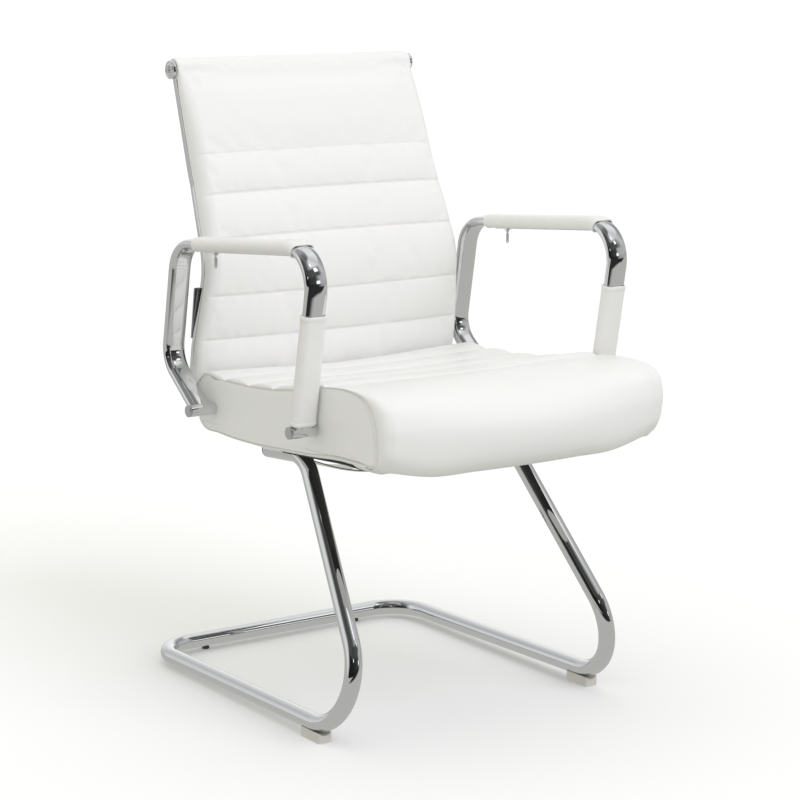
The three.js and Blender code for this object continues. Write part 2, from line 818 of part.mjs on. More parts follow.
function railBar(grow = 0, outward = 0) {
  const outline = barOutline(rail_thickness + 2 * grow + outward, rail_depth + 2 * grow);
  for (const corner of outline) corner.x -= outward / 2;
  return bowedOut(sweep(railLine(), outline));
}

function railEye(radius, from, to) {
  return rod(point(from, top_tube_y, top_tube_height), point(to, top_tube_y, top_tube_height), radius, 20);
}

const peg_places = [
  ['front', arm_front_peg_y, arm_front_peg_height],
  ['rear', arm_rear_peg_y, arm_rear_peg_height],
];

function sideRail() {
  const eye = railEye(rail_eye_diameter / 2, eye_half_width - rail_half, eye_half_width + rail_half);
  const body = joined([railBar(), eye]);
  const tools = [railEye(top_tube_diameter / 2 + running_gap, eye_half_width - rail_thickness,
    eye_half_width + rail_thickness)];
  for (const [, y, z] of peg_places) {
    tools.push(rod(point(rail_half_width_low - rail_thickness, y, z),
      point(rail_half_width_low + rail_thickness, y, z), clearRadius(arm_bolt_diameter), drill_sides));
  }
  for (const { spot, way } of lumbarScrewPlaces()) {
    const far = spot.clone().addScaledVector(way, -rail_depth - overrun);
    tools.push(rod(far, spot.clone().addScaledVector(way, overrun), clearRadius(lumbar_screw_diameter), drill_sides));
  }
  return cut(body, tools);
}

// Lumbar plate: bowed to the rear between the rails, flanges flat on their rear faces
const lumbar_way = direction(point(0, rail_rear_y, rail_rear_height), point(0, lumbar_y, lumbar_height));
const lumbar_rear_way = point(0, lumbar_way.z, -lumbar_way.y);
function lumbarSpot(height) {
  const share = (height - rail_rear_height) / (lumbar_height - rail_rear_height);
  return point(0, mix(rail_rear_y, lumbar_y, share), height);
}
const lumbar_plate_low = lumbarSpot(lumbar_plate_low_height);
const lumbar_plate_tall = lumbarSpot(lumbar_plate_high_height).distanceTo(lumbar_plate_low);
const lumbar_plate_end_half_width = railX(lumbar_plate_low_height) + rail_half;

function lumbarScrewPlaces() {
  const places = [];
  for (const rise of [lumbar_screw_inset, lumbar_plate_tall - lumbar_screw_inset]) {
    const spot = lumbar_plate_low.clone().addScaledVector(lumbar_way, rise);
    spot.x = railX(spot.z);
    const out = rail_depth / 2 + running_gap + lumbar_plate_thickness + running_gap;
    places.push({ spot: spot.addScaledVector(lumbar_rear_way, out), way: lumbar_rear_way });
  }
  return places;
}

function lumbarPlate() {
  const set = rail_depth / 2 + running_gap + lumbar_plate_thickness / 2;
  const end = lumbar_plate_end_half_width;
  const flange = end - lumbar_plate_flange;
  const shoulder = lumbar_plate_shoulder_half_width;
  const corners = [
    [end, 0], [flange, 0], [shoulder, lumbar_plate_shoulder_set],
    [shoulder / 2, lumbar_plate_shoulder_set + lumbar_plate_bow * 0.75],
  ];
  const line = corners.concat(corners.slice().reverse().map(([x, d]) => [-x, d]));
  const path = new BentPath(line.map(([x, d]) => point(x, set + d, lumbar_plate_tall / 2)), [
    lumbar_plate_end_bend, lumbar_plate_end_bend * 2, lumbar_plate_bow * 8,
    lumbar_plate_bow * 8, lumbar_plate_end_bend * 2, lumbar_plate_end_bend,
  ], fine_bend_step * 2);
  const plate = sweep(path, barOutline(lumbar_plate_tall, lumbar_plate_thickness));
  const turn = new THREE.Matrix4().makeBasis(point(1, 0, 0), lumbar_rear_way, lumbar_way);
  plate.applyMatrix4(turn);
  plate.translate(0, lumbar_plate_low.y, lumbar_plate_low.z);
  const tools = [];
  for (const { spot, way } of lumbarScrewPlaces()) {
    for (const side of [1, -1]) {
      const from = point(side * spot.x, spot.y, spot.z).addScaledVector(way, -rail_depth);
      const to = point(side * spot.x, spot.y, spot.z).addScaledVector(way, overrun);
      tools.push(rod(from, to, clearRadius(lumbar_screw_diameter), drill_sides));
    }
  }
  return cut(plate, tools);
}

function lumbarScrew(place) {
  const length = rail_depth + lumbar_plate_thickness;
  const screw = capScrew(lumbar_screw_diameter, length, lumbar_screw_head_diameter,
    lumbar_screw_head_height, lumbar_screw_socket, lumbar_screw_head_height / 2);
  return facing(screw, place.spot, place.way);
}

// Top tube with threaded end inserts, end disc and its countersunk screw, all along X
function topTube() {
  const r = top_tube_diameter / 2;
  const bore = r - top_tube_wall;
  const thread = disc_screw_diameter / 2 + running_gap;
  const end = eye_half_width + rail_half;
  const inner = end - top_tube_end_insert;
  const profile = [
    [thread, end], [r, end], [r, -end], [thread, -end], [thread, -inner], [bore, -inner],
    [bore, inner], [thread, inner], [thread, end],
  ];
  return turned(profile.reverse(), 14).rotateY(Math.PI / 2).translate(0, top_tube_y, top_tube_height);
}

function endDisc() {
  const r = disc_diameter / 2;
  const hole = disc_screw_diameter / 2 + running_gap;
  const sink = disc_screw_head_diameter / 2 + running_gap;
  const t = disc_thickness;
  const g = disc_groove_radius;
  const profile = [
    [hole, 0], [r, 0], [r, t - disc_edge], [r - disc_edge, t], [g + disc_groove_width, t],
    [g + disc_groove_width / 2, t - disc_groove_depth], [g, t], [sink, t],
    [hole, t - disc_screw_head_height], [hole, 0],
  ];
  return turned(profile, 18).rotateY(Math.PI / 2).translate(disc_inner_half_width, top_tube_y, top_tube_height);
}

function discScrew() {
  const r = disc_screw_diameter / 2;
  const head = disc_screw_head_diameter / 2;
  const t = disc_thickness;
  const low = t - disc_screw_head_height;
  const body = turned([[0, low - disc_screw_length], [r, low - disc_screw_length], [r, low], [head, t], [0, t]], 16);
  const key_radius = disc_screw_socket / Math.sqrt(3);
  const key = new THREE.CylinderGeometry(key_radius, key_radius, 2 * disc_screw_socket_depth, 6)
    .rotateX(Math.PI / 2).translate(0, 0, t);
  return cut(body, [key]).rotateY(Math.PI / 2).translate(disc_inner_half_width, top_tube_y, top_tube_height);
}

// Seat cushion: rings from the side panel over welt and roll to the middle
const seat_depth = seat_rear_y - seat_front_y;
const seat_height = seat_roll_height - seat_bottom_height;
const underside = (y) => {
  const reach = y - leg_top_y;
  return leg_top_height + reach * Math.tan(run_pitch) + (board_underside + seat_underside_rise) / Math.cos(run_pitch);
};

function seatSideOutline() {
  return seat_side_shares.map(([y, z]) => [seat_front_y + seat_depth * y, seat_bottom_height + seat_height * z]);
}

// Roll outline, whose first seven points lie on the underside behind it
function rollOutline(shares, front_y, bottom_height) {
  const side = seatSideOutline();
  const reach = seat_first_seam_y - front_y;
  const rise = seat_roll_height - bottom_height;
  const under = side.slice(0, side.length - shares.length).map(([y, z], i) => {
    const low = underside(y);
    return [y, i < 2 ? z : Math.min(low, z)];
  });
  return under.concat(shares.map(([y, z]) => [seat_first_seam_y - reach * y, bottom_height + rise * z]));
}

// Ribbed top from the first seam to the crease and down the rear face
function seatTop(seam_depth, dish) {
  const points = [];
  for (let rib = 0; rib < seat_rib_count; rib++) {
    for (const [along, left] of rib_shares) {
      const y = seat_first_seam_y + (rib + along) * seat_rib_pitch;
      const share = mix(seat_seam_height_shares[rib], seat_seam_height_shares[rib + 1], along);
      const base = seat_bottom_height + seat_height * share;
      points.push([y, base + seam_depth * (1 - left) - dish]);
    }
  }
  const crease = seat_first_seam_y + seat_rib_count * seat_rib_pitch;
  const last = seat_seam_height_shares[seat_rib_count];
  points.push([crease, seat_bottom_height + seat_height * last - dish]);
  for (const share of seat_rear_height_shares) {
    points.push([seat_rear_y, seat_bottom_height + seat_height * share]);
  }
  return points;
}

// An outline drawn in toward its own middle by a distance
function drawnIn(outline, distance) {
  const count = outline.length;
  return outline.map(([y, z], i) => {
    const [ay, az] = outline[(i + count - 1) % count];
    const [by, bz] = outline[(i + 1) % count];
    const length = Math.hypot(by - ay, bz - az);
    return [y + distance * (bz - az) / length * -1, z + distance * (by - ay) / length];
  });
}

function seatRings() {
  const side = seatSideOutline();
  const edge = side.concat(seatTop(seat_seam_depth / 2, 0));
  const roll = rollOutline(roll_side_shares, roll_side_front_y, roll_side_bottom_height);
  const middle = rollOutline(roll_middle_shares, roll_front_y, roll_bottom_height);
  const roll_first = side.length - roll_side_shares.length;
  const rings = [];
  const add = (x, outline, bulge) => {
    rings.push(outline.map(([y, z], i) => point(x + bulge * rollWeight(i, roll_first, side.length), y, z)));
  };
  const sign = outlineSign(edge);
  add(seat_half_width - welt_rise, drawnIn(edge, sign * welt_inset), 0);
  add(seat_half_width, drawnIn(edge, sign * welt_rise), 0);
  add(seat_half_width, drawnIn(edge, 0), 0);
  add(seat_half_width - welt_groove, drawnIn(edge, sign * welt_groove), 0);
  for (const share of [...seat_station_shares, 0]) {
    const x = share * seat_half_width;
    const middle_share = (1 + Math.cos(Math.PI * share)) / 2;
    const top = seatTop(seat_seam_depth, seat_seam_dish * middle_share);
    const drop_share = Math.sin(Math.PI / 2 * Math.min(1, (1 - share) * 2.5));
    const nose = roll.map(([y, z], i) => [mix(y, middle[i][0], middle_share), mix(z, middle[i][1], drop_share)]);
    add(x, nose.concat(top), roll_side_bulge * Math.max(0, (share - 0.8) / 0.155));
  }
  const other = rings.slice(0, -1).reverse().map((ring) => ring.map((p) => point(-p.x, p.y, p.z)));
  return rings.concat(other);
}

// How far a point of the outline belongs to the front roll
function rollWeight(i, first, last) {
  if (i < first || i >= last) return 0;
  const share = (i - first + 0.5) / (last - first);
  return Math.sin(Math.PI * Math.min(1, share)) ** 0.5 * (share > 0.7 ? (1 - share) / 0.3 : 1);
}

function outlineSign(outline) {
  let area = 0;
  outline.forEach(([y, z], i) => {
    const [by, bz] = outline[(i + 1) % outline.length];
    area += y * bz - by * z;
  });
  return Math.sign(area);
}

function seatTools() {
  const tools = [onRuns(seatBoard(running_gap))];
  for (const [, reach] of bolt_places) {
    tools.push(onRuns(stretcher(reach, running_gap)));
    for (const side of [1, -1]) {
      const x = side * runX(reach);
      const well = rod(point(x, reach, nut_underside - overrun),
        point(x, reach, nut_underside + nut_height + 2 * bolt_past_nut),
        nut_across_flats / Math.sqrt(3) + running_gap, 12);
      tools.push(onRuns(well));
    }
  }
  const rail = railBar(running_gap);
  const pegs = peg_places.map(([, y, z]) => rod(
    point(rail_half_width_low - rail_half - arm_bolt_past_rail - running_gap, y, z),
    point(rail_half_width_low, y, z), clearRadius(arm_bolt_diameter), drill_sides,
  )).concat(peg_places.map(([, y, z]) => rod(
    point(rail_half_width_low, y, z), point(seat_half_width + tube_diameter, y, z),
    peg_diameter / 2 + running_gap, 16,
  )));
  const runout = block(
    point(rail_half_width_low - rail_half - running_gap, rail_front_y - running_gap, rail_front_height),
    point(rail_outer_low + running_gap, rail_front_y + overrun, rail_front_height + running_gap),
  );
  for (const tool of [rail, ...pegs, runout]) tools.push(tool, mirrored(tool));
  return tools;
}

// Back cushion: rings square to the rail line, rolled round the top tube
const back_line = new BentPath([
  point(0, rail_rear_y, rail_rear_height), point(0, lumbar_y, lumbar_height),
  point(0, upper_back_y, upper_back_height), point(0, top_tube_y, top_tube_height),
], [rail_lumbar_bend, rail_upper_bend]);

function backThickness(reach) {
  const lumbar = rail_rear_height + back_line.length * 0.42;
  const share = reach / back_line.length;
  const lumbar_share = (lumbar - rail_rear_height) / back_line.length;
  if (share < lumbar_share) {
    const s = share / lumbar_share;
    return mix(back_low_thickness, back_lumbar_thickness, s * s * (3 - 2 * s));
  }
  const s = (share - lumbar_share) / (1 - lumbar_share);
  if (s < 0.4) return mix(back_lumbar_thickness, back_high_thickness, s / 0.4);
  const t = (s - 0.4) / 0.6;
  return mix(back_high_thickness, back_roll_radius, t * t);
}

function backRing(reach, front, rear, seam, crown) {
  const { spot, way } = back_line.at(Math.min(reach, back_line.length));
  const past = Math.max(0, reach - back_line.length);
  const centre = spot.clone().addScaledVector(way, past);
  const forward = point(0, -way.z, way.y);
  const low = 1 - Math.min(1, reach / back_line.length * 2);
  const half = railX(Math.min(spot.z, top_tube_height)) + rail_half - running_gap
    + mix(back_side_margin, back_low_side_margin, low) - back_side_margin;
  const soft = Math.min(back_edge_softness, (front + rear) / 3);
  const profile = [
    [0, -rear], [half / 2, -rear], [half - soft, -rear], [half - soft / 4, -rear + soft / 3],
    [half, mix(-rear, front, 0.42)], [half - soft / 5, front - soft * 0.7], [half - soft, front - soft * 0.12],
  ];
  for (const [across, through, share] of [...back_face_shares].reverse()) {
    profile.push([half * across, front * through + crown * share - seam * Math.min(1, share + 0.5)]);
  }
  const ring = profile.map(([x, d]) => point(x, 0, 0).add(centre).addScaledVector(forward, d));
  const other = profile.slice(1, -1).reverse()
    .map(([x, d]) => point(-x, 0, 0).add(centre).addScaledVector(forward, d));
  return ring.concat(other);
}

function backRings() {
  const rings = [];
  const start = back_bottom_reach;
  const first = back_first_seam_reach;
  rings.push(backRing(start, backThickness(start) - back_edge_softness, 0, 0, 0));
  rings.push(backRing(start + back_edge_softness / 3, backThickness(start) - back_edge_softness / 4,
    back_rear_cover / 2, 0, back_crown / 2));
  const low = [mix(start, first, 0.3), mix(start, first, 0.65), mix(start, first, 0.93)];
  for (const reach of low) rings.push(backRing(reach, backThickness(reach), back_rear_cover, 0, back_crown));
  const last = first + back_rib_count * back_rib_pitch;
  for (let rib = 0; rib < back_rib_count; rib++) {
    for (const [along, left] of rib_shares) {
      const reach = first + (rib + along) * back_rib_pitch;
      rings.push(backRing(reach, backThickness(reach), back_rear_cover, back_seam_depth * left, back_crown));
    }
  }
  for (const share of back_upper_shares) {
    const reach = mix(last, back_line.length, share);
    const rear = mix(back_rear_cover, back_roll_radius, Math.max(0, (share - 0.6) / 0.4) ** 0.5);
    const seam = share === 0 ? back_seam_depth / 2 : 0;
    rings.push(backRing(reach, backThickness(reach), rear, seam, back_crown * (1 - share) ** 0.5));
  }
  for (const share of back_roll_turn_shares) {
    const a = share * Math.PI / 2;
    const r = back_roll_radius * Math.cos(a);
    rings.push(backRing(back_line.length + back_roll_radius * Math.sin(a), r, r, 0, 0));
  }
  return rings;
}

function backTools() {
  const bore = railEye(top_tube_diameter / 2 + running_gap, -eye_half_width - tube_diameter,
    eye_half_width + tube_diameter);
  const rail = railBar(running_gap, tube_diameter);
  const eye = railEye(rail_eye_diameter / 2 + running_gap, eye_half_width - rail_half - running_gap,
    eye_half_width + tube_diameter);
  return [bore, rail, mirrored(rail), eye, mirrored(eye)];
}

// Arm frame: a hollow oval tube loop with a bored peg welded across each end
const arm_path = new BentPath([
  point(0, arm_rear_peg_y, arm_rear_peg_height), point(0, arm_rear_elbow_y, arm_rear_elbow_height),
  point(0, arm_rear_top_y, arm_rear_top_height), point(0, arm_front_top_y, arm_front_top_height),
  point(0, arm_front_peg_y, arm_front_peg_height),
], [arm_rear_elbow_bend, arm_rear_top_bend, arm_front_top_bend]);
const peg_inner_half_width = rail_outer_low + running_gap;
const peg_face_half_width = peg_outer_half_width - arm_cap_thickness - arm_cap_seam;

function armFrame() {
  const outer = ovalOutline(arm_tube_width, arm_tube_thickness, 4);
  const inner = ovalOutline(arm_tube_width - 2 * arm_tube_wall, arm_tube_thickness - 2 * arm_tube_wall, 2);
  const tube = sweep(arm_path, outer, inner).translate(arm_centre_half_width, 0, 0);
  const pegs = peg_places.map(([, y, z]) => rod(point(peg_inner_half_width, y, z),
    point(peg_face_half_width, y, z), peg_diameter / 2, 16));
  const tools = [];
  for (const [, y, z] of peg_places) {
    tools.push(rod(point(peg_inner_half_width - overrun, y, z), point(peg_face_half_width, y, z),
      clearRadius(arm_bolt_diameter), drill_sides));
    tools.push(rod(point(peg_face_half_width - peg_bore_depth, y, z),
      point(peg_face_half_width + overrun, y, z), peg_bore_diameter / 2, 16));
  }
  const { spot } = arm_path.at(arm_path.reach[arm_path.bends[0][1]] + arm_vent_reach);
  tools.push(rod(point(arm_centre_half_width - arm_tube_width, spot.y, spot.z),
    point(arm_centre_half_width, spot.y, spot.z), arm_vent_diameter / 2, 8));
  return cut(joined([tube, ...pegs]), tools);
}

function armBolt(y, z) {
  const seat = peg_face_half_width - peg_bore_depth + running_gap;
  const length = seat - (rail_half_width_low - rail_half - arm_bolt_past_rail);
  const bolt = capScrew(arm_bolt_diameter, length, arm_bolt_head_diameter, arm_bolt_head_height,
    arm_bolt_socket, arm_bolt_socket_depth);
  return facing(bolt, point(seat, y, z), point(1, 0, 0));
}

function armCap(y, z) {
  const r = peg_diameter / 2;
  const spigot = peg_bore_diameter / 2 - running_gap;
  const t = arm_cap_thickness;
  const edge = arm_cap_seam;
  const body = turned([
    [0, -arm_cap_spigot - edge], [spigot, -arm_cap_spigot - edge], [spigot, 0], [r, 0],
    [r, t - edge], [r - edge, t], [0, t],
  ], 14);
  return facing(body, point(peg_outer_half_width - t, y, z), point(1, 0, 0));
}

// Leather sleeve along part of the arm tube, a little thicker at its hems
function sleeve(from, to) {
  const line = arm_path.piece(from, to);
  const outer = ovalOutline(arm_tube_width + 2 * arm_sleeve_growth, arm_tube_thickness + 2 * arm_sleeve_growth, 4);
  const inner = ovalOutline(arm_tube_width + 2 * running_gap, arm_tube_thickness + 2 * running_gap, 4);
  const body = sweep(line, outer, inner);
  const rolled = ovalOutline(arm_tube_width + 2 * (arm_sleeve_growth + sleeve_hem),
    arm_tube_thickness + 2 * (arm_sleeve_growth + sleeve_hem), 4);
  const hems = [[from, from + sleeve_hem_length], [to - sleeve_hem_length, to]].map(([a, b]) => (
    sweep(arm_path.piece(a, b), rolled, inner)
  ));
  return joined([body, ...hems]).translate(arm_centre_half_width, 0, 0);
}

const top_sleeve_from = arm_path.reach[arm_path.bends[1][1]] + top_sleeve_rear_setback;
const top_sleeve_to = arm_path.reach[arm_path.bends[2][0]] + top_sleeve_into_bend;
const front_sleeve_from = arm_path.reach[arm_path.bends[2][1]] + front_sleeve_setback;
const front_sleeve_to = arm_path.length - peg_diameter / 2 - running_gap - sleeve_hem;

// Zip under the arm rest, in a frame at the rear end of its chain: Y forward, Z down
const zip_way = direction(arm_path.spots[arm_path.bends[2][0]], arm_path.spots[arm_path.bends[1][1]]);
const zip_down = point(0, zip_way.z, -zip_way.y);
const chain_from = top_sleeve_from + sleeve_hem_length + zip_chain_rear_margin;
const chain_to = arm_path.reach[arm_path.bends[2][0]] - zip_chain_front_margin;
const chain_length = chain_to - chain_from;
const chain_low = arm_tube_thickness / 2 + arm_sleeve_growth + running_gap;
const zip_frame = new THREE.Matrix4().makeBasis(point(1, 0, 0), zip_way.clone().negate(), zip_down);
zip_frame.setPosition(arm_path.at(chain_from).spot.add(point(arm_centre_half_width, 0, 0)));

function underArm(geometry) {
  return geometry.clone().applyMatrix4(zip_frame);
}

function zipChain() {
  return underArm(block(point(-zip_chain_width / 2, 0, chain_low),
    point(zip_chain_width / 2, chain_length, chain_low + zip_chain_thickness)));
}

const slider_plate_low = chain_low + zip_chain_thickness + running_gap;
const slider_plate_high = slider_plate_low + zip_slider_plate;
const zip_bar_depth = slider_plate_high + zip_lug_drop;
const slider_middle = zip_slider_from_chain_end;

function zipSlider() {
  const inner = zip_chain_width / 2 + running_gap;
  const outer = inner + zip_slider_flange;
  const half = zip_slider_length / 2;
  const y0 = slider_middle - half;
  const y1 = slider_middle + half;
  const channel = block(point(-outer, y0, chain_low), point(outer, y1, slider_plate_high));
  const slot = block(point(-inner, y0 - overrun, chain_low - overrun), point(inner, y1 + overrun, slider_plate_low));
  const lug_in = zip_eye_width / 2 + running_gap;
  const lug_out = lug_in + zip_lug_thickness;
  const pieces = [cut(channel, [slot])];
  for (const side of [1, -1]) {
    const x0 = Math.min(side * lug_in, side * lug_out);
    const x1 = Math.max(side * lug_in, side * lug_out);
    pieces.push(block(point(x0, slider_middle - zip_lug_radius, slider_plate_low + zip_slider_plate / 2),
      point(x1, slider_middle + zip_lug_radius, zip_bar_depth)));
    pieces.push(rod(point(x0, slider_middle, zip_bar_depth), point(x1, slider_middle, zip_bar_depth),
      zip_lug_radius, 12));
  }
  pieces.push(rod(point(-lug_out, slider_middle, zip_bar_depth), point(lug_out, slider_middle, zip_bar_depth),
    zip_bar_diameter / 2, 10));
  return underArm(joined(pieces));
}

// Pull tab: an eye round the slider's bar, a narrow neck and a drilled tab, hanging straight down
const zip_bar_spot = point(0, slider_middle, zip_bar_depth).applyMatrix4(zip_frame);
function zipPull() {
  const eye_bore = zip_bar_diameter / 2 + running_gap;
  const eye_radius = eye_bore + zip_eye_wall;
  const w = zip_eye_width / 2;
  const x = zip_tab_width / 2;
  const shape = new THREE.Shape([
    [-w, 0], [-w, -zip_tab_neck], [-x, -zip_tab_neck - w], [-x, x - zip_tab_length],
    [-w, -zip_tab_length], [w, -zip_tab_length], [x, x - zip_tab_length], [x, -zip_tab_neck - w],
    [w, -zip_tab_neck], [w, 0],
  ].map(([a, b]) => new THREE.Vector2(a, b)));
  const hole = new THREE.Path();
  hole.absarc(0, x - zip_tab_length, zip_tab_hole_diameter / 2, 0, 2 * Math.PI, true);
  shape.holes.push(hole);
  const tab = slab(shape, zip_tab_thickness, 4).rotateX(Math.PI / 2).translate(0, zip_tab_thickness / 2, 0);
  const eye = rod(point(-w, 0, 0), point(w, 0, 0), eye_radius, 12);
  const bore = rod(point(-zip_tab_width, 0, 0), point(zip_tab_width, 0, 0), eye_bore, 12);
  return cut(joined([eye, tab]), [bore]).translate(zip_bar_spot.x, zip_bar_spot.y, zip_bar_spot.z);
}

// Looks
const chrome = { color: 0xc9ccd0, roughness: 0.08, metalness: 1 };
const dark_chrome = { color: 0x8b8f95, roughness: 0.16, metalness: 1 };
const zinc = { color: 0x9a9da1, roughness: 0.4, metalness: 1 };
const leather = { color: 0xf3f1ec, roughness: 0.42, metalness: 0 };
const ply = { color: 0xb9905f, roughness: 0.7, metalness: 0 };
const pale_plastic = { color: 0xd9d6cd, roughness: 0.5, metalness: 0 };
const dark_plastic = { color: 0x2c2d2f, roughness: 0.6, metalness: 0 };
const painted = { color: 0x1d1e20, roughness: 0.55, metalness: 0.2 };
const cast_metal = { color: 0xa8abae, roughness: 0.3, metalness: 1 };

const chair = new THREE.Group();
chair.name = 'sled_base_visitor_chair';
const rear_extreme = loop_rear_y + tube_radius;
chair.position.y = -(rear_extreme + roll_front_y) / 2;

function add(name, geometry, look) {
  const shown = cleaned(geometry);
  shown.computeVertexNormals();
  const mesh = new THREE.Mesh(shown, new THREE.MeshStandardMaterial(look));
  mesh.name = name;
  chair.add(mesh);
}

function addPair(name, geometry, look) {
  add(`${name}_left`, geometry, look);
  add(`${name}_right`, mirrored(geometry), look);
}

add('sled_frame', sled_frame, chrome);
addPair('tube_plug', plug_body, dark_plastic);
addPair('front_foot', frontFoot(), pale_plastic);
addPair('rear_glide', rearGlide(), dark_plastic);
add('bow_plate', bowPlate(), chrome);
add('seat_board', onRuns(cut(seatBoard(), boardDrills())), ply);
for (const [place, reach] of bolt_places) {
  add(`seat_stretcher_${place}`, onRuns(cut(stretcher(reach), boardDrills())), painted);
  addPair(`frame_bolt_${place}`, frameBolt(reach), zinc);
  addPair(`frame_nut_${place}`, drilledNut(reach), zinc);
}
add('seat_cushion', cut(loft(seatRings()), seatTools()), leather);
add('back_cushion', cut(loft(backRings()), backTools()), leather);
addPair('side_rail', sideRail(), chrome);
add('top_tube', topTube(), chrome);
addPair('end_disc', endDisc(), chrome);
addPair('disc_screw', discScrew(), zinc);
add('lumbar_plate', lumbarPlate(), dark_chrome);
lumbarScrewPlaces().forEach((place, i) => {
  addPair(`lumbar_screw_${['low', 'high'][i]}`, lumbarScrew(place), zinc);
});
addPair('arm_frame', armFrame(), chrome);
for (const [place, y, z] of peg_places) {
  addPair(`arm_bolt_${place}`, armBolt(y, z), zinc);
  addPair(`arm_cap_${place}`, armCap(y, z), chrome);
}
addPair('top_sleeve', sleeve(top_sleeve_from, top_sleeve_to), leather);
addPair('front_sleeve', sleeve(front_sleeve_from, front_sleeve_to), leather);
addPair('zip_chain', zipChain(), dark_plastic);
addPair('zip_slider', zipSlider(), cast_metal);
addPair('zip_pull', zipPull(), cast_metal);

export default chair;
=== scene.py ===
"""Sled base visitor chair: finished surfaces and finishes for every piece of the chair."""

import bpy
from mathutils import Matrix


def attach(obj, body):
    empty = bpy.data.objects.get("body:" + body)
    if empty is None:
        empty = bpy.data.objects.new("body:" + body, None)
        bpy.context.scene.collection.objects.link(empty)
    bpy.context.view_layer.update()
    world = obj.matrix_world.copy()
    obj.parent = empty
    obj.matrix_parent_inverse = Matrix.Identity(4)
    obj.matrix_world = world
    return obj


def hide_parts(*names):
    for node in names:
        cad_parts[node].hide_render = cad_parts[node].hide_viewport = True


bl_info = {
    "name": "Sled base visitor chair",
    "version": (1, 0, 0),
    "blender": (4, 5, 0),
    "location": "View3D > Sidebar > Chair",
    "description": "Makes the upholstery, chrome and fittings of a sled base visitor chair",
    "category": "Add Mesh",
}

import math

import bmesh
import bpy
import numpy as np
from mathutils import Vector

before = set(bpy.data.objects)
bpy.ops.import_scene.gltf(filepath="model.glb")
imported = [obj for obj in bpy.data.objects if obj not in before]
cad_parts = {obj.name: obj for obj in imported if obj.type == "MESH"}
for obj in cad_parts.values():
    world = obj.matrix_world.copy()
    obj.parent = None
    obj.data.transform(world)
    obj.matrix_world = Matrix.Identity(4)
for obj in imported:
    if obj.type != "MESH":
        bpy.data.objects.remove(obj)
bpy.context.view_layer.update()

MM = 0.001
SIDES = (("left", 1.0), ("right", -1.0))
# The chair's lines are given in millimetres from a plane ahead of the front feet
REARWARD = -178.6


# Settings of the chair


def length(name, words, value):
    return bpy.props.FloatProperty(
        name=name, description=words, default=value, min=0.0, unit="LENGTH", precision=4
    )


def share(name, words, value):
    return bpy.props.FloatProperty(
        name=name, description=words, default=value, min=0.0, max=1.0, subtype="FACTOR"
    )


def colour(name, words, value):
    return bpy.props.FloatVectorProperty(
        name=name, description=words, default=value, size=3, min=0.0, max=1.0, subtype="COLOR"
    )


def count(name, words, value):
    return bpy.props.IntProperty(name=name, description=words, default=value, min=1)


class MetalSizes(bpy.types.PropertyGroup):
    base_tube: length("Base tube", "Outer diameter of the sled tube", 0.0254)
    base_wall: length("Base wall", "Wall of the sled tube", 0.002)
    arm_width: length("Arm tube width", "Width of the flat oval arm tube", 0.035)
    arm_thickness: length("Arm tube thickness", "Thickness of the flat oval arm tube", 0.016)
    rail_thickness: length("Rail thickness", "Side rail across the chair", 0.008)
    rail_depth: length("Rail depth", "Side rail from front to rear", 0.013)
    rail_edge: length("Rail edge", "Rounding of the side rail's edges", 0.0028)
    peg: length("Peg", "Diameter of the arm's cross pegs", 0.018)
    disc: length("End disc", "Diameter of the discs at the top tube's ends", 0.028)
    plate: length("Plate", "Thickness of the two bowed plates", 0.003)


class SeatSizes(bpy.types.PropertyGroup):
    rib_depth: length("Rib depth", "How far a rib stands over its seams", 0.0046)
    seam_width: length("Seam width", "Width of a sewn groove", 0.0032)
    groove: length("Seam groove", "Depth of a sewn groove", 0.0012)
    swell: length("Swell", "Most that the filling may push the cover out", 0.005)
    stitch: length("Stitch", "Length of one stitch", 0.0034)
    stitch_gap: length("Stitch gap", "Gap between two stitches", 0.0014)
    thread: length("Thread", "Thickness of the sewing thread", 0.0009)


class BackSizes(bpy.types.PropertyGroup):
    rib_depth: length("Rib depth", "How far a rib stands over its seams", 0.0026)
    seam_width: length("Seam width", "Width of a sewn groove", 0.0026)
    groove: length("Seam groove", "Depth of a sewn groove", 0.0008)
    swell: length("Swell", "Most that the filling may push the cover out", 0.004)
    crown: length("Crown", "Rise of the pad's middle over its sides", 0.007)


class ChairColours(bpy.types.PropertyGroup):
    leather: colour("Leather", "Cover of seat and back", (0.86, 0.857, 0.842))
    sleeve: colour("Sleeve leather", "Sleeves on the arms", (0.83, 0.826, 0.805))
    thread: colour("Thread", "Sewing thread", (0.74, 0.725, 0.69))
    chrome: colour("Chrome", "Plated tubes, rails and plates", (0.74, 0.75, 0.76))
    foot: colour("Foot", "Front feet", (0.62, 0.60, 0.56))
    dark_plastic: colour("Dark plastic", "Plugs and rear glides", (0.03, 0.03, 0.033))
    floor: colour("Floor", "Studio floor", (0.97, 0.97, 0.97))
    grain: length("Leather grain", "Size of one grain pebble of the leather", 0.0011)


# Lines and grids


def row(points):
    """Points in millimetres moved into the chair's frame, in metres."""
    points = np.asarray(points, float).copy()
    points[..., 1] += REARWARD
    return points * MM


def unit(vectors):
    return vectors / np.linalg.norm(vectors, axis=-1, keepdims=True)


